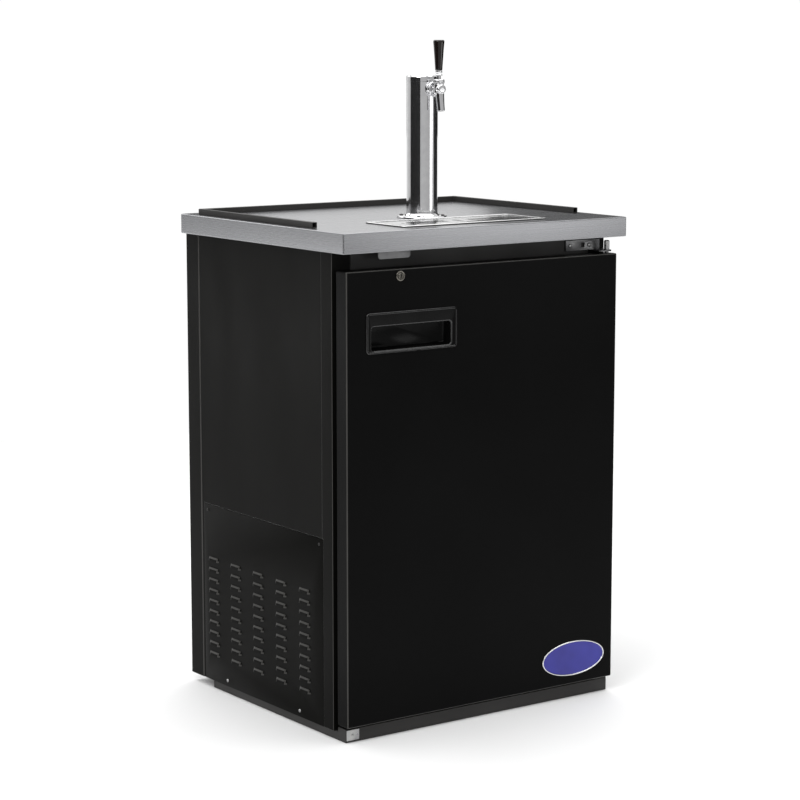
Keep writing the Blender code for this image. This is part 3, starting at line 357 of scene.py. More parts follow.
def loft(name, loops, caps=True, around=False):
    """A skin over loops of equal length. With around, the last loop joins the first."""
    shape = bmesh.new()
    rows = [[shape.verts.new(point) for point in loop] for loop in loops]
    pairs = list(zip(rows, rows[1:]))
    if around:
        pairs.append((rows[-1], rows[0]))
    for first, second in pairs:
        for index in range(len(first)):
            after = (index + 1) % len(first)
            shape.faces.new((first[index], first[after], second[after], second[index]))
    if caps and not around:
        shape.faces.new(rows[0])
        shape.faces.new(rows[-1])
    return mesh_object(name, shape)


TURNS = {
    "Z": Matrix.Identity(4),
    "Y": Matrix.Rotation(-pi / 2, 4, "X"),
    "-Y": Matrix.Rotation(pi / 2, 4, "X"),
    "X": Matrix.Rotation(pi / 2, 4, "Y"),
    "-X": Matrix.Rotation(-pi / 2, 4, "Y"),
}


def lathe(name, profile, foot, axis="Z", steps=64, ribs=0, rib_depth=0.0, rib_rows=()):
    """A turned piece. The profile lists (radius, height). A profile off the axis closes on itself."""
    turn = Matrix.Translation(foot) @ TURNS[axis]
    solid = profile[0][0] == 0 and profile[-1][0] == 0
    body = profile[1:-1] if solid else profile
    loops = []
    for row, (radius, height) in enumerate(body):
        loop = []
        for step in range(steps):
            angle = 2 * pi * step / steps
            dip = rib_depth * (0.5 + 0.5 * cos(ribs * angle)) if row in rib_rows else 0.0
            loop.append(turn @ Vector(((radius - dip) * cos(angle), (radius - dip) * sin(angle), height)))
        loops.append(loop)
    return loft(name, loops, caps=solid, around=not solid)


def rod(name, radius, start, end, foot=(0, 0, 0), axis="Z", steps=32):
    """A plain round bar, from start to end along the axis. Most of them are cutters."""
    return lathe(name, [(0, start), (radius, start), (radius, end), (0, end)], foot, axis, steps)


def prism(name, points, low, high, axis):
    """An outline of (u, v) points carried along the axis: (x, y) for Z, (x, z) for Y."""
    ends = [[(u, v, w) if axis == "Z" else (u, w, v) for u, v in points] for w in (low, high)]
    return loft(name, ends)


def merged(name, objects):
    """All the objects as one mesh object."""
    shape = bmesh.new()
    for obj in objects:
        obj.data.transform(obj.matrix_world)
        shape.from_mesh(obj.data)
        bpy.data.objects.remove(obj, do_unlink=True)
    return mesh_object(name, shape, turn_faces=False)


def carve(obj, cutters, operation="DIFFERENCE"):
    """Applies a Boolean with each cutter, and removes the cutters."""
    for cutter in cutters:
        modifier = obj.modifiers.new("Boolean", "BOOLEAN")
        modifier.operation = operation
        modifier.solver = "EXACT"
        modifier.object = cutter
    bake(obj)
    for cutter in cutters:
        bpy.data.objects.remove(cutter, do_unlink=True)


def bake(obj):
    """Replaces the object's mesh by its evaluated one."""
    graph = bpy.context.evaluated_depsgraph_get()
    graph.update()
    mesh = bpy.data.meshes.new_from_object(obj.evaluated_get(graph))
    obj.modifiers.clear()
    obj.data = mesh
    return obj


def edge_round(obj, width, angle=35):
    bevel = obj.modifiers.new("Bevel", "BEVEL")
    bevel.width = width
    bevel.segments = 2
    bevel.limit_method = "ANGLE"
    bevel.angle_limit = radians(angle)
    bevel.use_clamp_overlap = True
    return obj


def shade(obj, angle=35):
    """Smooth shading, kept sharp where faces meet at more than the angle."""
    for face in obj.data.polygons:
        face.use_smooth = True
    obj.data.set_sharp_from_angle(angle=radians(angle))


def weigh(obj):
    normals = obj.modifiers.new("Weighted", "WEIGHTED_NORMAL")
    normals.keep_sharp = True


def finish(obj, body, slot, look=None, stands_for=(), angle=35):
    """Gives a finished piece its look, which is the slot's own when no look is named, and its body."""
    shade(obj, angle)
    obj.data.materials.clear()
    obj.data.materials.append(LOOKS[look or slot])
    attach(obj, body)
    if stands_for:
        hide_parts(*stands_for)


def polished(obj, body, node, angle=40):
    """Finishes a polished piece that stands for one CAD node."""
    finish(obj, body, "polished_stainless", None, (node,), angle)


def second_look(obj, look, chosen):
    """A second look, on the faces that the test picks."""
    obj.data.materials.append(LOOKS[look])
    for face in obj.data.polygons:
        if chosen(face):
            face.material_index = 1


def centre(node):
    low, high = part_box(node)
    return (low + high) / 2


# ---- CAD pieces that stay
def dress_cad():
    """The looks of the record's slots, or the looks chosen for some nodes, on the CAD pieces, with their
    edges eased and shaded.
    """
    slots = {row["node"]: row["material_slot"] for row in frame["record"]["subparts"]}
    eased = {"side_panel_left": 0.0009, "side_panel_right": 0.0009, "base_frame": 0.0012}
    eased |= dict.fromkeys(("back_panel", "rear_grille", "hinge_bracket_bottom"), 0.0004)
    eased |= dict.fromkeys(("thermostat_box", "condensate_pan", "fan_shroud"), 0.0006)
    eased |= dict.fromkeys(("header_rail", "bulkhead"), 0.0008)
    for name, obj in NODES.items():
        obj.data.materials.clear()
        obj.data.materials.append(LOOKS[NODE_LOOKS.get(name, slots[name])])
        weld = obj.modifiers.new("Weld", "WELD")
        weld.merge_threshold = 0.00001
        if name in eased:
            edge_round(obj, eased[name], 40)
        # the side panels' bevels take the lighter coat: a painted highlight along their edges
        if name.startswith("side_panel"):
            obj.data.materials.append(LOOKS["painted_edge_highlight"])
            obj.modifiers["Bevel"].material = 1
        shade(obj, 38)
        weigh(obj)


# ---- fasteners
def pan_screw(name, foot, axis, radius=0.0034, height=0.0019, slot="zinc_steel"):
    """A pan-head screw in the cabinet, with a cross recess, its head standing on foot along axis."""
    profile = [
        (0.0, -0.0002), (radius * 0.97, -0.0002), (radius, height * 0.30),
        (radius * 0.86, height * 0.72), (radius * 0.55, height * 0.95), (0.0, height),
    ]
    head = lathe(name, profile, (0, 0, 0), "Z", 32)
    arm, wide = radius * 0.62, radius * 0.15
    cross = [
        slab("recess", (-arm, -wide, height * 0.40), (arm, wide, height * 2)),
        slab("recess", (-wide, -arm, height * 0.40), (wide, arm, height * 2)),
    ]
    carve(head, cross)
    head.data.transform(Matrix.Translation(foot) @ TURNS[axis])
    finish(head, "cabinet", slot)


# ---- worktop, rail and strike
def worktop():
    """The folded stainless top, its grain along the front and round the sides."""
    low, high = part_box("worktop")
    sheet = 0.0015
    tray_low, tray_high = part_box("drip_tray")
    tower = centre("tower_column")
    top = slab("worktop_sheet", low, high, 0.0022, 4)
    ledge = 0.0060
    cutters = [
        slab(
            "hollow",
            (low.x + sheet, low.y + sheet, low.z - 0.01),
            (high.x - sheet, high.y - sheet, high.z - sheet),
        ),
        slab(
            "tray_way",
            (tray_low.x + ledge, tray_low.y + ledge, high.z - 0.02),
            (tray_high.x - ledge, tray_high.y - ledge, high.z + 0.01),
        ),
        rod("tower_way", 0.017, -0.01, 0.01, (0, tower.y, high.z), "Z", 48),
    ]
    carve(top, cutters)
    finish(top, "cabinet", "brushed_stainless", "brushed_x", ("worktop",))
    second_look(top, "brushed_y", lambda face: abs(face.normal.x) > 0.7)
    weigh(top)


def gallery_rail():
    """Square tube bent round three sides, its front ends open."""
    low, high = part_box("gallery_rail")
    bar = high.z - low.z
    back, front = high.y, low.y
    corner, wall = 0.0035, 0.0012

    def route(inset):
        x, y = high.x - inset, back - inset
        radius = max(corner - inset, 0.0006)
        left = arc((radius - x, y - radius), radius, pi, -pi / 2)
        right = arc((x - radius, y - radius), radius, pi / 2, -pi / 2)
        return [(-x, front), *left, *right, (x, front)]

    outer, inner = route(0.0), list(reversed(route(bar)))
    rail = prism("rail_tube", outer + inner, low.z, high.z, "Z")
    mouths = [
        slab(
            "mouth",
            (min(side * (high.x - wall), side * (high.x - bar + wall)), front - 0.01, low.z + wall),
            (max(side * (high.x - wall), side * (high.x - bar + wall)), front + 0.060, high.z - wall),
        )
        for side in (-1, 1)
    ]
    carve(rail, mouths)
    bake(edge_round(rail, 0.0008))
    finish(rail, "cabinet", "black_frame", None, ("gallery_rail",))
    weigh(rail)


def lock_strike():
    """The strike plate below the apron, its lower corners rounded, with its flange."""
    low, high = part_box("lock_strike")
    thick, radius = 0.0015, 0.0060
    points = [(low.x, high.z), (high.x, high.z)]
    points += arc((high.x - radius, low.z + radius), radius, 0.0, -pi / 2)
    points += arc((low.x + radius, low.z + radius), radius, -pi / 2, -pi / 2)
    plate = prism("strike_plate", points, low.y, low.y + thick, "Y")
    flange = slab("flange", (low.x, low.y + 0.0005, high.z - thick), (high.x, high.y, high.z))
    carve(plate, [flange], "UNION")
    bake(edge_round(plate, 0.0004))
    finish(plate, "cabinet", "zinc_steel", "dull_zinc", ("lock_strike",))


# ---- cabinet panels
def louver_hood(shape, x, side, y, z, length, height, rise):
    """One pressed louvre: it leaves the sheet at its top, and its open edge faces down."""
    across, down = 14, 6
    for skin in (0.0, -0.0007):
        rows = []
        for j in range(down + 1):
            v = j / down
            row = []
            for i in range(across + 1):
                u = i / across
                end = min(1.0, 5.2 * min(u, 1 - u))
                lift = rise * sin(end * pi / 2) * sin(v * pi / 2) + skin
                point = (x + side * lift, y + (u - 0.5) * length, z + height * (0.5 - v))
                row.append(shape.verts.new(point))
            rows.append(row)
        for j in range(down):
            for i in range(across):
                corners = (rows[j][i], rows[j][i + 1], rows[j + 1][i + 1], rows[j + 1][i])
                shape.faces.new(corners if (skin == 0.0) == (side > 0) else corners[::-1])
        if skin == 0.0:
            outside = rows
    for edge_out, edge_in in (
        (outside[0], rows[0]), (outside[-1], rows[-1]),
        ([row[0] for row in outside], [row[0] for row in rows]),
        ([row[-1] for row in outside], [row[-1] for row in rows]),
    ):
        for k in range(len(edge_out) - 1):
            shape.faces.new((edge_out[k], edge_out[k + 1], edge_in[k + 1], edge_in[k]))


def louver_panel(node, side):
    """The access panel with its 50 pressed louvres, five columns of ten."""
    low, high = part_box(node)
    columns, rows = 5, 10
    pitch_y, pitch_z, middle_y, low_z = 0.0843, 0.0221, 0.0300, 0.0745
    length, height = 0.0350, 0.0055
    half_y, half_z = length / 2, height / 2
    panel = slab("louvred_" + node, low, high, 0.0004, 2)
    spots = [
        (middle_y + (column - (columns - 1) / 2) * pitch_y, low_z + row * pitch_z)
        for column in range(columns)
        for row in range(rows)
    ]
    slots = [
        slab("slot", (low.x - 0.01, y - half_y, z - half_z), (high.x + 0.01, y + half_y, z + half_z))
        for y, z in spots
    ]
    carve(panel, [merged("slots", slots)])
    face = high.x if side > 0 else low.x
    shape = bmesh.new()
    for y, z in spots:
        louver_hood(shape, face - side * 0.0002, side, y, z + 0.0022, length + 0.0040, 0.0100, 0.0046)
    hoods = mesh_object("hoods", shape)
    shade(hoods, 60)
    joined = merged("access_" + node, [panel, hoods])
    finish(joined, "cabinet", "black_vinyl_steel", None, (node,), 60)
    proud = abs(face) + 0.0008
    # the hoods' proud sloping faces take the lighter coat: a painted highlight on each louvre
    second_look(joined, "painted_edge_highlight", lambda part: abs(part.center.x) > proud and abs(part.normal.x) < 0.88)
    facing, margin = ("X" if side > 0 else "-X"), 0.0120
    for index, y in enumerate((low.y + 0.0850, high.y - 0.0850)):
        pan_screw(f"{node}_screw_{index}", (face, y, low.z + margin), facing)
    for index, y in enumerate((low.y + 0.0140, high.y - 0.0140)):
        spot = (face, y, high.z - margin)
        pan_screw(f"{node}_top_screw_{index}", spot, facing, 0.0030, 0.0016, "black_frame")


def back_details():
    """Screws in the rear cladding and grille, a black sheet of painted shade behind the top slots, and the
    gas bushing.
    """
    low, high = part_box("back_panel")
    face = high.y
    for row, z in enumerate((low.z + 0.012, (low.z + high.z) / 2, high.z - 0.030)):
        for column, x in enumerate((low.x + 0.012, high.x - 0.012)):
            pan_screw(f"back_screw_{row}_{column}", (x, face, z), "Y")
    low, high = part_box("rear_grille")
    for row, z in enumerate((low.z + 0.012, high.z - 0.012)):
        for column, x in enumerate((low.x + 0.012, 0.0, high.x - 0.012)):
            pan_screw(f"grille_screw_{row}_{column}", (x, high.y, z), "Y")
    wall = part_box("wall_back")[1].y
    half_width, gap, shade_sheet_low, shade_sheet_high = 0.2620, 0.00005, 0.2410, 0.2540
    # a black sheet behind the grille's slots: painted shade where the slots look into the dark
    shade_sheet = slab(
        "grille_shade_sheet", (-half_width, wall + gap, shade_sheet_low), (half_width, low.y - gap, shade_sheet_high)
    )
    finish(shade_sheet, "cabinet", "black_frame", "void_black")
    bushing_x, bushing_z = -0.2350, 0.7600
    bushing = lathe("gas_bushing", [
        (0.0080, -0.0036), (0.0080, 0.0028), (0.0150, 0.0028), (0.0160, 0.0014),
        (0.0160, 0.0002), (0.0116, 0.0002), (0.0116, -0.0036),
    ], (bushing_x, face, bushing_z), "Y", 40)
    finish(bushing, "cabinet", "black_rubber")


def corner_plate():
    """The small bright plate screwed to the base's front corner on the lock side."""
    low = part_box("base_frame")[0]
    y = low.y
    start, end = (low.x + 0.0012, y - 0.0010, 0.0040), (low.x + 0.0300, y - 0.0001, 0.0245)
    plate = slab("base_corner_plate", start, end, 0.0003, 2)
    finish(plate, "cabinet", "zinc_steel")
    pan_screw("base_corner_screw", (low.x + 0.0150, y - 0.0010, 0.0140), "-Y", 0.0030, 0.0016)


# ---- hinge
def top_hinge():
    """The hinge plate on the header, its tab over the door, its screws and its slotted hole."""
    low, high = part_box("hinge_bracket_top")
    pin = centre("hinge_pin_top")
    thick = 0.0025
    tab_z = (low.z, low.z + 0.0028)
    plate_low_z = tab_z[1] - 0.0001
    plate_right = 0.3180
    plate = slab("hinge_plate", (low.x, high.y - thick, plate_low_z), (plate_right, high.y, high.z))
    radius = 0.0092
    tab_x, tab_y, chamfer = 0.2960, high.y - 0.0001, 0.0030
    tab_points = [(tab_x, tab_y), (tab_x, pin.y - radius + chamfer), (tab_x + chamfer, pin.y - radius)]
    tab_points += arc((pin.x, pin.y), radius, -pi / 2, pi / 2)
    tab_points.append((pin.x + radius, tab_y))
    tab = prism("tab", tab_points, tab_z[0], tab_z[1], "Z")
    carve(plate, [tab], "UNION")
    slot_left, slot_right, screw_right = 0.2700, 0.2790, 0.2905
    holes = [
        rod("way", 0.0043, -0.02, 0.02, (pin.x, pin.y, tab_z[0]), "Z", 40),
        slab(
            "slot",
            (slot_left, low.y - 0.01, plate_low_z + 0.0060),
            (slot_right, high.y + 0.01, high.z - 0.0050),
        ),
    ]
    carve(plate, holes)
    bake(edge_round(plate, 0.0004))
    finish(plate, "cabinet", "zinc_steel", "dull_zinc", ("hinge_bracket_top",))
    face = high.y - thick
    for index, x in enumerate((low.x + 0.0110, screw_right)):
        pan_screw(f"hinge_plate_screw_{index}", (x, face, (plate_low_z + high.z) / 2), "-Y", 0.0042, 0.0024)
    low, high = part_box("hinge_pin_top")
    tab_underside = 0.9078
    top, bottom = high.z - tab_underside, low.z - tab_underside
    profile = [
        (0.0, top), (0.0040, top), (0.0055, top - 0.0014), (0.0055, 0.0032), (0.0040, 0.0032),
        (0.0040, bottom + 0.0010), (0.0032, bottom), (0.0, bottom),
    ]
    pin_piece = lathe("hinge_pin", profile, (pin.x, pin.y, tab_underside), "Z", 40)
    finish(pin_piece, "cabinet", "zinc_steel", None, ("hinge_pin_top",))


# ---- door
def door_skin():
    """The folded door skin, with rounded edges and its openings for the handle and the lock."""
    low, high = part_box("door_skin")
    handle_low, handle_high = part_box("door_handle")
    lock = centre("lock_bezel")
    cam_low, cam_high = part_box("lock_cam")
    pin = centre("hinge_pin_top")
    sheet = 0.0012
    flange = 0.0310
    skin = slab("door_outer", low, high, 0.0030, 5)
    cutters = [
        slab(
            "hollow",
            (low.x + sheet, low.y + sheet, low.z + sheet),
            (high.x - sheet, high.y - sheet, high.z - sheet),
            0.0016,
            3,
        ),
        slab(
            "back_opening",
            (low.x + flange, high.y - 0.005, low.z + flange),
            (high.x - flange, high.y + 0.01, high.z - flange),
        ),
        slab(
            "handle_way",
            (handle_low.x + 0.0085, low.y - 0.01, handle_low.z + 0.0040),
            (handle_high.x - 0.0115, low.y + 0.006, handle_high.z - 0.0022),
        ),
        rod("lock_way", 0.0088, -0.01, 0.01, (lock.x, low.y, lock.z), "Y", 40),
        slab(
            "cam_way",
            (cam_low.x - 0.005, cam_low.y - 0.0012, high.z - 0.006),
            (cam_high.x + 0.003, cam_high.y + 0.0012, high.z + 0.01),
        ),
        rod("pin_way", 0.0044, -0.01, 0.01, (pin.x, pin.y, high.z)),
        rod("stud_way", 0.0044, -0.01, 0.01, (pin.x, pin.y, low.z)),
    ]
    carve(skin, cutters)
    finish(skin, "door", "black_vinyl_steel", "door_coat", ("door_skin",))

    # the bevels round the door's front take the lighter coat: a painted highlight along its edges
    def front_fold_highlight(face):
        return sum(abs(part) > 0.25 for part in face.normal) > 1 and face.center.y < low.y + 0.0031

    second_look(skin, "painted_edge_highlight", front_fold_highlight)
    weigh(skin)


def door_handle():
    """The moulded pocket: a rounded surround, a lip at the top and a cup behind it."""
    low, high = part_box("door_handle")
    front, face_back = low.y, low.y + 0.0025
    mouth_low, mouth_high = Vector((-0.2732, 0.7533)), Vector((-0.0875, 0.7983))
    floor = high.y - 0.0015

    def outer(inset, y, radius):
        return upright_loop(low.x + inset, low.z + inset, high.x - inset, high.z - inset, radius, y)

    def mouth(grow, y, radius, top=0.0, right=0.0):
        x0, z0, x1, z1 = mouth_low.x - grow, mouth_low.y - grow, mouth_high.x + grow, mouth_high.y + grow
        return upright_loop(x0, z0, x1 - right, z1 + top, radius, y)

    roof = high.z - 0.0045 - mouth_high.y
    wall = 0.0012
    behind = [
        mouth(wall + 0.0003, face_back, 0.0075, roof),
        mouth(wall, floor - 0.0040, 0.0070, roof),
        mouth(wall - 0.0030, high.y, 0.0050, roof - 0.0016, 0.0),
    ]
    inside = [
        mouth(-0.0040, floor, 0.0040, roof - 0.0030, 0.0080),
        mouth(-0.0012, floor - 0.0030, 0.0060, roof - 0.0008, 0.0040),
        mouth(0.0, floor - 0.0080, 0.0065, roof, 0.0012), mouth(0.0, front + 0.0062, 0.0065, roof),
        mouth(0.0, front + 0.0056, 0.0062), mouth(0.0, front + 0.0032, 0.0060),
        mouth(0.0004, front + 0.0016, 0.0062), mouth(0.0016, front + 0.0009, 0.0074),
        mouth(0.0024, front + 0.0004, 0.0080),
    ]
    rim = [
        outer(0.0040, front + 0.0004, 0.0050), outer(0.0026, front, 0.0058),
        outer(0.0014, front + 0.0002, 0.0066), outer(0.0004, front + 0.0010, 0.0072),
        outer(0.0, face_back - 0.0001, 0.0075),
    ]
    loops = [*reversed(behind), outer(0.0, face_back, 0.0075), *reversed(rim), *reversed(inside)]
    handle = loft("pocket_handle", loops)
    finish(handle, "door", "black_plastic", None, ("door_handle",), 50)
    # the rim's sloping faces take a lighter plastic: a painted highlight round the surround
    second_look(
        handle, "plastic_edge_highlight", lambda face: face.center.y < face_back and 0.10 < abs(face.normal.y) < 0.97
    )


def badge():
    """A blank oval plate: an enamel field inside a bright rim."""
    low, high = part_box("badge_plate")
    middle = (low + high) / 2
    half_u, half_v = (high.x - low.x) / 2, (high.z - low.z) / 2
    count = 96

    def oval(inset, y):
        angles = [2 * pi * step / count for step in range(count)]
        wide, tall = half_u - inset, half_v - inset
        return [(middle.x + wide * cos(angle), y, middle.z + tall * sin(angle)) for angle in angles]

    back, front = high.y, low.y
    rim = loft(
        "badge_rim",
        [
            oval(0.0, back), oval(0.0, front + 0.0009), oval(0.0005, front + 0.0002),
            oval(0.0014, front), oval(0.0023, front + 0.0002), oval(0.0028, front + 0.0008),
            oval(0.0028, back),
        ],
        caps=False,
        around=True,
    )
    polished(rim, "door", "badge_plate", 60)
    field = loft("badge_field", [
        oval(0.0030, back), oval(0.0030, front + 0.0009), oval(0.0100, front + 0.0006),
        oval(0.0200, front + 0.0004),
    ])
    finish(field, "door", "badge_enamel", None, (), 60)


def lock():
    """The cylinder lock's bezel and its keyed plug."""
    low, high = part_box("lock_bezel")
    middle = (low + high) / 2
    depth = high.y - low.y
    bezel = lathe("lock_ring", [
        (0.0085, depth), (0.0085, 0.0021), (0.0102, 0.0021), (0.0102, 0.0014), (0.0096, 0.0004),
        (0.0088, 0.0), (0.0072, 0.0002), (0.0064, 0.0008), (0.0062, 0.0014), (0.0062, depth),
    ], (middle.x, low.y, middle.z), "Y", 64)
    finish(bezel, "door", "polished_stainless", "smoked_chrome", ("lock_bezel",), 40)
    low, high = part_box("lock_plug")
    depth = high.y - low.y
    plug = lathe(
        "lock_core",
        [(0, 0.0), (0.0053, 0.0), (0.0058, 0.0005), (0.0058, depth - 0.0004), (0.0054, depth), (0, depth)],
        (middle.x, low.y, middle.z), "Y", 48,
    )
    keyway = slab(
        "keyway",
        (middle.x - 0.0008, low.y - 0.01, middle.z - 0.0038),
        (middle.x + 0.0008, low.y + 0.0060, middle.z + 0.0038),
    )
    ward = slab(
        "ward",
        (middle.x - 0.0004, low.y - 0.01, middle.z - 0.0010),
        (middle.x + 0.0017, low.y + 0.0050, middle.z + 0.0008),
    )
    carve(plug, [keyway, ward])
    finish(plug, "lock", "polished_stainless", "smoked_chrome", ("lock_plug",), 40)


def door_back():
    """The pressed liner and the magnetic gasket's bellows."""
    low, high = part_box("door_liner")

    def loop(inset, y, radius):
        return upright_loop(low.x + inset, low.z + inset, high.x - inset, high.z - inset, radius, y, 5)

    flat = low.y + 0.0022
    liner = loft("pressed_liner", [
        loop(0.0, low.y, 0.0020), loop(0.0, flat, 0.0020), loop(0.0280, flat, 0.0180),
        loop(0.0310, flat + 0.0008, 0.0180), loop(0.0360, high.y - 0.0008, 0.0180),
        loop(0.0390, high.y, 0.0180), loop(0.0700, high.y, 0.0150),
        loop(0.0720, high.y - 0.0010, 0.0150), loop(0.0900, high.y - 0.0010, 0.0150),
        loop(0.0920, high.y, 0.0150), loop(0.1100, high.y, 0.0150),
    ])
    finish(liner, "door", "liner_aluminium", None, ("door_liner",), 50)
    low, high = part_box("door_gasket")
    width = 0.0140
    depth = high.y - low.y

    def ring(inset, y):
        return [
            (low.x + inset, y, low.z + inset), (high.x - inset, y, low.z + inset),
            (high.x - inset, y, high.z - inset), (low.x + inset, y, high.z - inset),
        ]

    section = [
        (0.0, 0.0), (0.0, 0.22), (0.0014, 0.34), (0.0014, 0.46), (0.0002, 0.58), (0.0004, 0.86),
        (0.0024, 1.0), (width - 0.0024, 1.0), (width - 0.0004, 0.86), (width - 0.0002, 0.58),
        (width - 0.0014, 0.46), (width - 0.0014, 0.34), (width, 0.22), (width, 0.0),
    ]
    loops = [ring(inset, low.y + depth * share) for inset, share in section]
    gasket = loft("gasket_bellows", loops, caps=False, around=True)
    finish(gasket, "door", "black_rubber", None, ("door_gasket",), 50)


# ---- draught tower and tap
def tower():
    """The polished column, its flange with four screws, and its push-fit cap."""
    low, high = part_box("tower_column")
    middle = centre("tower_column")
    radius, wall = 0.0310, 0.0015
    tap_z = centre("shank").z
    column = lathe(
        "column_tube",
        [(radius, high.z), (radius, low.z), (radius - wall, low.z), (radius - wall, high.z)],
        (0, middle.y, 0), "Z", 128,
    )
    way = rod("shank_way", 0.0113, 0.0, 0.05, (0, middle.y, tap_z), "-Y", 48)
    carve(column, [way])
    polished(column, "cabinet", "tower_column")

    flange_low, flange_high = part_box("tower_flange")
    outer = (flange_high.x - flange_low.x) / 2
    height = flange_high.z - flange_low.z
    flange = lathe("flange_ring", [
        (0.0170, 0.0), (outer, 0.0), (outer, height * 0.45), (outer - 0.0006, height * 0.72),
        (outer - 0.0016, height * 0.92), (outer - 0.0030, height), (0.0170, height),
    ], (0, middle.y, flange_low.z), "Z", 128)
    polished(flange, "cabinet", "tower_flange", 50)
    bead = lathe("flange_fillet", [
        (radius + 0.0001, 0.0002), (radius + 0.0042, 0.0002), (radius + 0.0030, 0.0012),
        (radius + 0.0012, 0.0028), (radius + 0.0001, 0.0050),
    ], (0, middle.y, flange_high.z), "Z", 96)
    finish(bead, "cabinet", "polished_stainless", None, (), 60)
    screw_circle = 0.0418
    for index in range(4):
        angle = pi / 4 + index * pi / 2
        spot = (screw_circle * cos(angle), middle.y + screw_circle * sin(angle), flange_high.z)
        pan_screw(f"flange_screw_{index}", spot, "Z", 0.0040, 0.0022, "black_frame")

    cap_low, cap_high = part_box("tower_cap")
    rim = cap_low.z + 0.0050
    cap = lathe("column_cap", [
        (0.0, cap_high.z), (0.0272, cap_high.z), (0.0290, cap_high.z - 0.0003),
        (0.0303, cap_high.z - 0.0012), (0.0310, cap_high.z - 0.0026), (0.0313, cap_high.z - 0.0042),
        (0.0313, rim + 0.0003), (0.0309, rim), (radius - wall - 0.0003, rim),
        (radius - wall - 0.0003, cap_low.z), (0.0, cap_low.z),
    ], (0, middle.y, 0), "Z", 128)
    relief = slab("relief", (-0.016, middle.y - 0.032, cap_low.z - 0.01), (0.016, middle.y + 0.009, rim))
    carve(cap, [relief])
    polished(cap, "tower_cap", "tower_cap")


def shank_and_nut():
    """The shank's collar against the column, and the ring nut with its spanner holes."""
    low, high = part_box("shank")
    axis = (0, high.y, centre("shank").z)
    reach = high.y - low.y
    shank = lathe("threaded_shank", [
        (0.0035, 0.0), (0.0110, 0.0), (0.0110, 0.0379), (0.0136, 0.0379), (0.0140, 0.0384),
        (0.0140, 0.0396), (0.0134, 0.0404), (0.0118, reach), (0.0035, reach),
    ], axis, "-Y", 64)
    polished(shank, "cabinet", "shank")
    low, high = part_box("coupling_nut")
    reach = high.y - low.y
    nut = lathe("ring_nut", [
        (0.0105, 0.0), (0.0140, 0.0), (0.0148, 0.0003), (0.0152, 0.0010), (0.0152, reach - 0.0010),
        (0.0148, reach - 0.0003), (0.0140, reach), (0.0105, reach),
    ], (0, high.y, axis[2]), "-Y", 96)
    holes = []
    for index in range(6):
        angle = pi / 2 + index * pi / 3
        turn = Matrix.Translation((0, (low.y + high.y) / 2, axis[2])) @ Matrix.Rotation(-angle, 4, "Y")
        hole = rod("hole", 0.0019, 0.0128, 0.0200, (0, 0, 0), "X", 20)
        hole.data.transform(turn)
        holes.append(hole)
    carve(nut, holes)
    polished(nut, "cabinet", "coupling_nut")


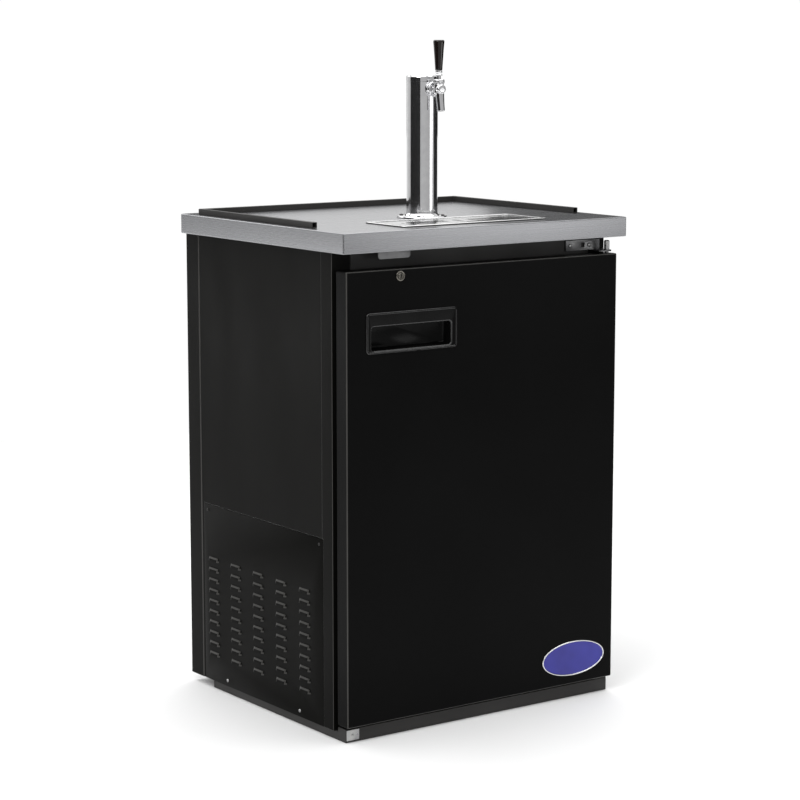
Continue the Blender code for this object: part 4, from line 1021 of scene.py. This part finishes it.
def tap():
    """The cast and polished tap: neck, bonnet seat, rounded nose and the spout leaning forward."""
    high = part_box("tap_body")[1]
    tap_z = centre("shank").z
    pivot_y = centre("tap_bonnet").y
    nose = [(0.0100, 0), (0.0100, 0.0285), (0.0094, 0.0305), (0.0078, 0.0320), (0.0050, 0.0325)]
    neck = lathe("tap_casting", [(0, 0), *nose, (0, 0.0325)], (0, high.y, tap_z), "-Y", 48)
    seat = [(0, 0), (0.0100, 0), (0.0106, 0.004), (0.0098, 0.0198), (0, 0.0198)]
    head = lathe("head", seat, (0, pivot_y, tap_z - 0.0095), "Z", 48)
    taper = [(0, 0), (0.0076, 0), (0.0078, 0.012), (0.0084, 0.026), (0.0092, 0.040), (0, 0.040)]
    spout = lathe("spout", taper, (0, 0, 0), "Z", 48)
    spout_y, spout_drop, spout_lean = -0.1315, 0.0427, radians(-8)
    lean = Matrix.Translation((0, spout_y, tap_z - spout_drop)) @ Matrix.Rotation(spout_lean, 4, "X")
    spout.data.transform(lean)
    carve(neck, [head, spout], "UNION")
    remesh = neck.modifiers.new("Remesh", "REMESH")
    remesh.mode = "VOXEL"
    remesh.voxel_size = 0.00045
    smooth = neck.modifiers.new("Smooth", "SMOOTH")
    smooth.factor = 0.5
    smooth.iterations = 14
    bake(neck)
    way = rod("way", 0.0056, -0.01, 0.036)
    way.data.transform(lean)
    lever_way = rod("lever_way", 0.0066, 0, 0.02, (0, pivot_y, tap_z - 0.006))
    bore = rod("bore", 0.0062, 0, 0.0265, (0, high.y + 0.005, tap_z), "-Y", 32)
    tip_low = (-0.0036, pivot_y - 0.0044, tap_z - 0.0032)
    tip_way = slab("tip_way", tip_low, (0.0036, pivot_y + 0.0092, tap_z + 0.0120))
    carve(neck, [way, lever_way, bore, tip_way])
    polished(neck, "cabinet", "tap_body", 60)

    bonnet_low, bonnet_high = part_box("tap_bonnet")
    reach = bonnet_high.z - bonnet_low.z
    bonnet = lathe(
        "knurled_bonnet",
        [
            (0.0067, 0.0), (0.0104, 0.0), (0.0110, 0.0004), (0.0110, 0.0014), (0.0114, 0.0018),
            (0.0114, 0.0062), (0.0110, 0.0066), (0.0109, reach - 0.0008), (0.0100, reach),
            (0.0088, reach), (0.0067, 0.0045),
        ],
        (0, pivot_y, bonnet_low.z), "Z", 180,
        ribs=30,
        rib_depth=0.0006,
        rib_rows=(4, 5),
    )
    polished(bonnet, "cabinet", "tap_bonnet")

    lever_low, lever_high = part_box("tap_lever")
    pivot_z = 1.2475
    ball = 0.0060
    arc = [(ball * sin(radians(a)), ball * cos(radians(a))) for a in range(42, 157, 8)]
    lever = lathe("lever_and_ferrule", [
        (0.0, lever_high.z - pivot_z), (0.0062, lever_high.z - pivot_z),
        (0.0068, lever_high.z - pivot_z - 0.0006), (0.0068, 0.0172), (0.0060, 0.0160),
        (0.0056, 0.0150), (0.0062, 0.0142), (0.0071, 0.0134), (0.0072, 0.0126), (0.0070, 0.0118),
        (0.0040, 0.0112), *arc, (0.0024, lever_low.z - pivot_z + 0.0006),
        (0.0018, lever_low.z - pivot_z), (0.0, lever_low.z - pivot_z),
    ], (0, pivot_y, pivot_z), "Z", 64)
    polished(lever, "tap_lever", "tap_lever")

    handle_low, handle_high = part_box("tap_handle")
    length = handle_high.z - handle_low.z
    profile = [(0.0, length), (0.0088, length), (0.0094, length - 0.0002), (0.0106, length - 0.0014)]
    profile += [(0.0110, length - 0.0024), (0.0110, length - 0.0046)]
    for step in range(1, 12):
        t = step / 12
        profile.append((0.0110 - 0.0040 * (t**0.85), (length - 0.0046) * (1 - t)))
    profile += [(0.0070, 0.0010), (0.0066, 0.0), (0.0, 0.0)]
    handle = lathe("tap_knob", profile, (0, pivot_y, handle_low.z), "Z", 96)
    finish(handle, "tap_lever", "black_plastic", "gloss_handle", ("tap_handle",), 35)


# ---- drip tray
def capsule(y0, y1, x, radius, low, high):
    """A cutter for one slot with round ends."""
    points = arc((x, y1 - radius), radius, 0.0, pi) + arc((x, y0 + radius), radius, pi, pi)
    return prism("slot", points, low, high, "Z")


def drip_tray():
    """The tray with its rolled rim, and the slotted grille that lifts out of it."""
    low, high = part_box("drip_tray")
    middle = ((low.x + high.x) / 2, (low.y + high.y) / 2)
    half_u, half_v = (high.x - low.x) / 2, (high.y - low.y) / 2
    inset, wall = 0.0070, 0.0012
    shelf = high.z - 0.0030

    def loop(offset, z, radius):
        return [(u, v, z) for u, v in ring_points(half_u - offset, half_v - offset, radius, 6, middle)]

    tray = loft("tray_tub_and_rim", [
        loop(inset + wall, low.z + wall, 0.0060), loop(inset + wall, high.z - 0.0010, 0.0060),
        loop(inset + wall - 0.0008, high.z - 0.0002, 0.0066), loop(inset - 0.0010, high.z, 0.0070),
        loop(0.0022, high.z, 0.0060), loop(0.0008, high.z - 0.0004, 0.0064),
        loop(0.0, high.z - 0.0014, 0.0066), loop(0.0, shelf, 0.0066), loop(inset, shelf, 0.0070),
        loop(inset, low.z, 0.0060),
    ])
    finish(tray, "drip_tray", "brushed_stainless", "tray_steel", ("drip_tray",), 40)
    tray_top = high.z

    def tub_shade_face(face):
        upright = abs(face.normal.z) < 0.5
        return face.center.z < shelf - 0.0010 or (face.center.z < tray_top - 0.0012 and upright)

    # the tub's floor and inner walls take the dark steel: painted shade inside the tray
    second_look(tray, "painted_tub_shade", tub_shade_face)

    low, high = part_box("drip_grille")
    grille = slab("slotted_grille", low, high, 0.0004, 2)
    middle_y, reach, pitch = (low.y + high.y) / 2, 0.0160, 0.0056
    row = [0.0290 + pitch * index for index in range(16)]
    slots = [
        capsule(middle_y - reach, middle_y + reach, x, 0.0015, low.z - 0.01, high.z + 0.01)
        for x in [-x for x in row] + [-pitch, 0.0, pitch] + row
    ]
    carve(grille, [merged("slots", slots)])
    edge, sheet = 0.001, 0.0008
    hollow_low = (low.x + edge, low.y + edge, low.z - 0.01)
    hollow_high = (high.x - edge, high.y - edge, high.z - sheet)
    under = slab("under", hollow_low, hollow_high)
    carve(grille, [under])
    ends = [
        rod("hole", 0.0035, -0.01, 0.01, (x, middle_y, high.z), "Z", 24)
        for x in (-0.1300, 0.1300)
    ]
    carve(grille, ends)
    finish(grille, "drip_grille", "brushed_stainless", "tray_steel", ("drip_grille",), 40)

    def shaded_slot_wall(face):
        inside = abs(face.center.x) < high.x - 0.01 and abs(face.center.y - middle_y) < reach + 0.0010
        return abs(face.normal.z) < 0.5 and inside

    # the slots' walls take the black: painted shade inside the slots
    second_look(grille, "void_black", shaded_slot_wall)


# ---- inside the compartment
def fan_guard():
    """The wire guard in front of the evaporator fan: rings on four spokes."""
    low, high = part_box("evaporator_fan")
    cover_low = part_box("evaporator_cover")[0]
    x, z = (low.x + high.x) / 2, (low.z + high.z) / 2
    y = cover_low.y - 0.0016
    wires = []
    for index, radius in enumerate((0.0160, 0.0290, 0.0420, 0.0560)):
        section = [(radius + 0.0009 * cos(2 * pi * k / 8), 0.0009 * sin(2 * pi * k / 8)) for k in range(8)]
        wires.append(lathe(f"ring_{index}", section, (x, y, z), "Y", 48))
    for index in range(4):
        angle = pi / 4 + index * pi / 2
        spoke = rod("spoke", 0.0009, 0.0160, 0.0645, (0, 0, 0), "X", 8)
        spoke.data.transform(Matrix.Translation((x, y + 0.0006, z)) @ Matrix.Rotation(angle, 4, "Y"))
        wires.append(spoke)
    guard = merged("evaporator_fan_guard", wires)
    finish(guard, "cabinet", "zinc_steel", None, (), 50)
    screw_circle = 0.0660
    for index in range(4):
        angle = pi / 4 + index * pi / 2
        spot = (x + screw_circle * cos(angle), cover_low.y, z + screw_circle * sin(angle))
        pan_screw(f"guard_screw_{index}", spot, "-Y", 0.0032, 0.0018)


def compartment_trim():
    """Corner beads where the liner's flat panels meet, and screws on the evaporator's cover."""
    wall_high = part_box("wall_left")[1]
    inner_x, back_y, floor_z = wall_high.x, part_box("wall_back")[0].y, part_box("keg_floor")[1].z
    size = 0.0060
    for side, name in ((-1, "left"), (1, "right")):
        x = -side * inner_x
        waist = (x - side * size * 0.35, back_y - size * 0.35)
        points = [(x, back_y), (x - side * size, back_y), waist, (x, back_y - size)]
        upright = prism(f"corner_bead_{name}", points, floor_z + 0.0005, wall_high.z - 0.0010, "Z")
        finish(upright, "cabinet", "liner_aluminium", "zinc_steel", (), 30)
    low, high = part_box("evaporator_cover")
    spots = [(x, z) for x in (low.x + 0.009, high.x - 0.009) for z in (low.z + 0.010, high.z - 0.010)]
    for index, (x, z) in enumerate(spots):
        pan_screw(f"cover_screw_{index}", (x, low.y, z), "-Y", 0.0034, 0.0018)


# ---- studio
def softbox(name, location, target, width, height, power):
    lamp = bpy.data.lights.new(name, "AREA")
    lamp.shape = "RECTANGLE"
    lamp.size, lamp.size_y, lamp.energy = width, height, power
    obj = bpy.data.objects.new(name, lamp)
    bpy.context.scene.collection.objects.link(obj)
    obj.location = location
    obj.rotation_euler = (Vector(target) - Vector(location)).to_track_quat("-Z", "Y").to_euler()


def card(name, corners, look):
    """A card that only reflections see, through pairs of low and high corners."""
    shape = bmesh.new()
    rows = [[shape.verts.new(point) for point in pair] for pair in corners]
    for first, second in zip(rows, rows[1:]):
        shape.faces.new((first[0], second[0], second[1], first[1]))
    made = mesh_object(name, shape)
    made.data.materials.append(look)
    made.visible_camera = made.visible_diffuse = made.visible_shadow = False
    made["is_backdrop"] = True


def curved_card(name, start, end, look, radius=2.4, low=0.66, high=2.0, steps=24):
    """A card round the column, between two bearings in degrees from +X."""
    foot = centre("tower_column")
    corners = []
    for step in range(steps + 1):
        angle = radians(start + (end - start) * step / steps)
        x, y = foot.x + radius * cos(angle), foot.y + radius * sin(angle)
        corners.append(((x, y, low), (x, y, high)))
    card(name, corners, look)


def upright_card(name, middle, facing, width, low, high, look):
    """A flat upright card whose middle is at (x, y), facing a bearing in degrees."""
    across = Vector((-sin(radians(facing)), cos(radians(facing)))) * width / 2
    ends = [Vector(middle) - across, Vector(middle) + across]
    card(name, [((end.x, end.y, low), (end.x, end.y, high)) for end in ends], look)


def glowing(name, strength):
    """A card material that shines, a little unevenly."""
    look = Look(name)
    look.colour(look.noise(2.0, 1.0), (0.0, 0.0, 0.0), (0.01, 0.01, 0.01))
    look.roughness(look.noise(3.0, 1.0), 0.8, 0.9)
    shine = look.ramp(look.noise(1.5, 1.0), strength * 0.94, strength)
    look.link(shine, look.shader.inputs["Emission Strength"])
    look.set(Emission_Color=(1.0, 1.0, 1.0, 1.0))
    return look.material


def surround():
    """A pale room, white behind the object and a little dimmer in front of it."""
    world = bpy.data.worlds.new("studio")
    world.use_nodes = True
    tree = world.node_tree
    where = tree.nodes.new("ShaderNodeTexCoord")
    split = tree.nodes.new("ShaderNodeSeparateXYZ")
    angle = tree.nodes.new("ShaderNodeMath")
    angle.operation = "ARCTAN2"
    turn = tree.nodes.new("ShaderNodeMapRange")
    turn.inputs["From Min"].default_value = -pi
    turn.inputs["From Max"].default_value = pi
    ramp = tree.nodes.new("ShaderNodeValToRGB")
    link = tree.links.new
    link(where.outputs["Generated"], split.inputs["Vector"])
    link(split.outputs["Y"], angle.inputs[0])
    link(split.outputs["X"], angle.inputs[1])
    link(angle.outputs["Value"], turn.inputs["Value"])
    link(turn.outputs["Result"], ramp.inputs["Fac"])
    # bearing in degrees anticlockwise from +X, and how bright the room is there
    bearings = (
        (-180, 0.52), (-110, 0.52), (-80, 0.48), (-30, 0.48), (0, 0.70), (36, 0.97),
        (76, 0.97), (108, 0.66), (130, 0.56), (160, 0.50), (180, 0.50),
    )
    stops = ramp.color_ramp.elements
    while len(stops) < len(bearings):
        stops.new(0.5)
    for stop, (bearing, level) in zip(stops, bearings):
        stop.position = (bearing + 180) / 360
        stop.color = (level, level, level, 1.0)
    link(ramp.outputs["Color"], tree.nodes["Background"].inputs["Color"])
    tree.nodes["Background"].inputs["Strength"].default_value = 1.04
    return world


def studio():
    """A pale floor and surround, three soft boxes, the cards that only reflections see, and the camera."""
    scene = bpy.context.scene
    scene.view_settings.view_transform = "Standard"
    scene.world = surround()
    low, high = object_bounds()
    middle = (low + high) / 2

    shape = bmesh.new()
    bmesh.ops.create_circle(shape, cap_ends=True, segments=96, radius=3.2)
    floor = mesh_object("floor", shape)
    floor.location.z = low.z - 0.0005
    floor.data.materials.append(pale_floor())
    floor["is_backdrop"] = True

    softbox("key", (-3.2, -1.6, 3.2), middle, 2.0, 2.0, 60)
    softbox("strip", (1.40, -2.10, 0.96), (0.0, -0.07, 1.02), 0.80, 0.40, 2.4)
    softbox("overhead", (0.0, 0.0, 6.0), (0.0, 0.0, 0.0), 9.0, 9.0, 520)
    black = LOOKS["void_black"]
    curved_card("dark_card_left", 140, 221, black)
    curved_card("dark_card_right", -30, 26, black)
    upright_card("dark_card_back_right", (2.06, 1.48), 234, 1.10, 1.02, 2.2, black)
    upright_card("dark_card_back_left", (0.72, 2.44), 234, 0.55, 1.02, 2.2, black)
    upright_card("corner_card", (-2.29, -1.69), 36, 0.60, 0.40, 0.62, glowing("corner_glow", 3.0))
    upright_card("side_card", (-1.75, 1.90), -50, 1.30, 0.34, 0.62, glowing("side_glow", 3.4))
    upright_card("top_edge_card", (-0.60, 3.20), -80, 2.60, 2.40, 3.60, glowing("top_edge_glow", 3.0))

    lens = bpy.data.cameras.new("camera")
    lens.lens = 107.8
    lens.sensor_width = 36.0
    lens.clip_end = 60.0
    camera = bpy.data.objects.new("camera", lens)
    camera.location = (-2.817, -3.926, 1.3556)
    camera.rotation_euler = (pi / 2 - 0.155, 0.0, -0.6216)
    scene.collection.objects.link(camera)
    scene.camera = camera


def main():
    dress_cad()
    worktop()
    gallery_rail()
    lock_strike()
    louver_panel("louver_panel_left", -1)
    louver_panel("louver_panel_right", 1)
    back_details()
    corner_plate()
    top_hinge()
    door_skin()
    door_handle()
    badge()
    lock()
    door_back()
    tower()
    shank_and_nut()
    tap()
    drip_tray()
    fan_guard()
    compartment_trim()
    studio()


main()
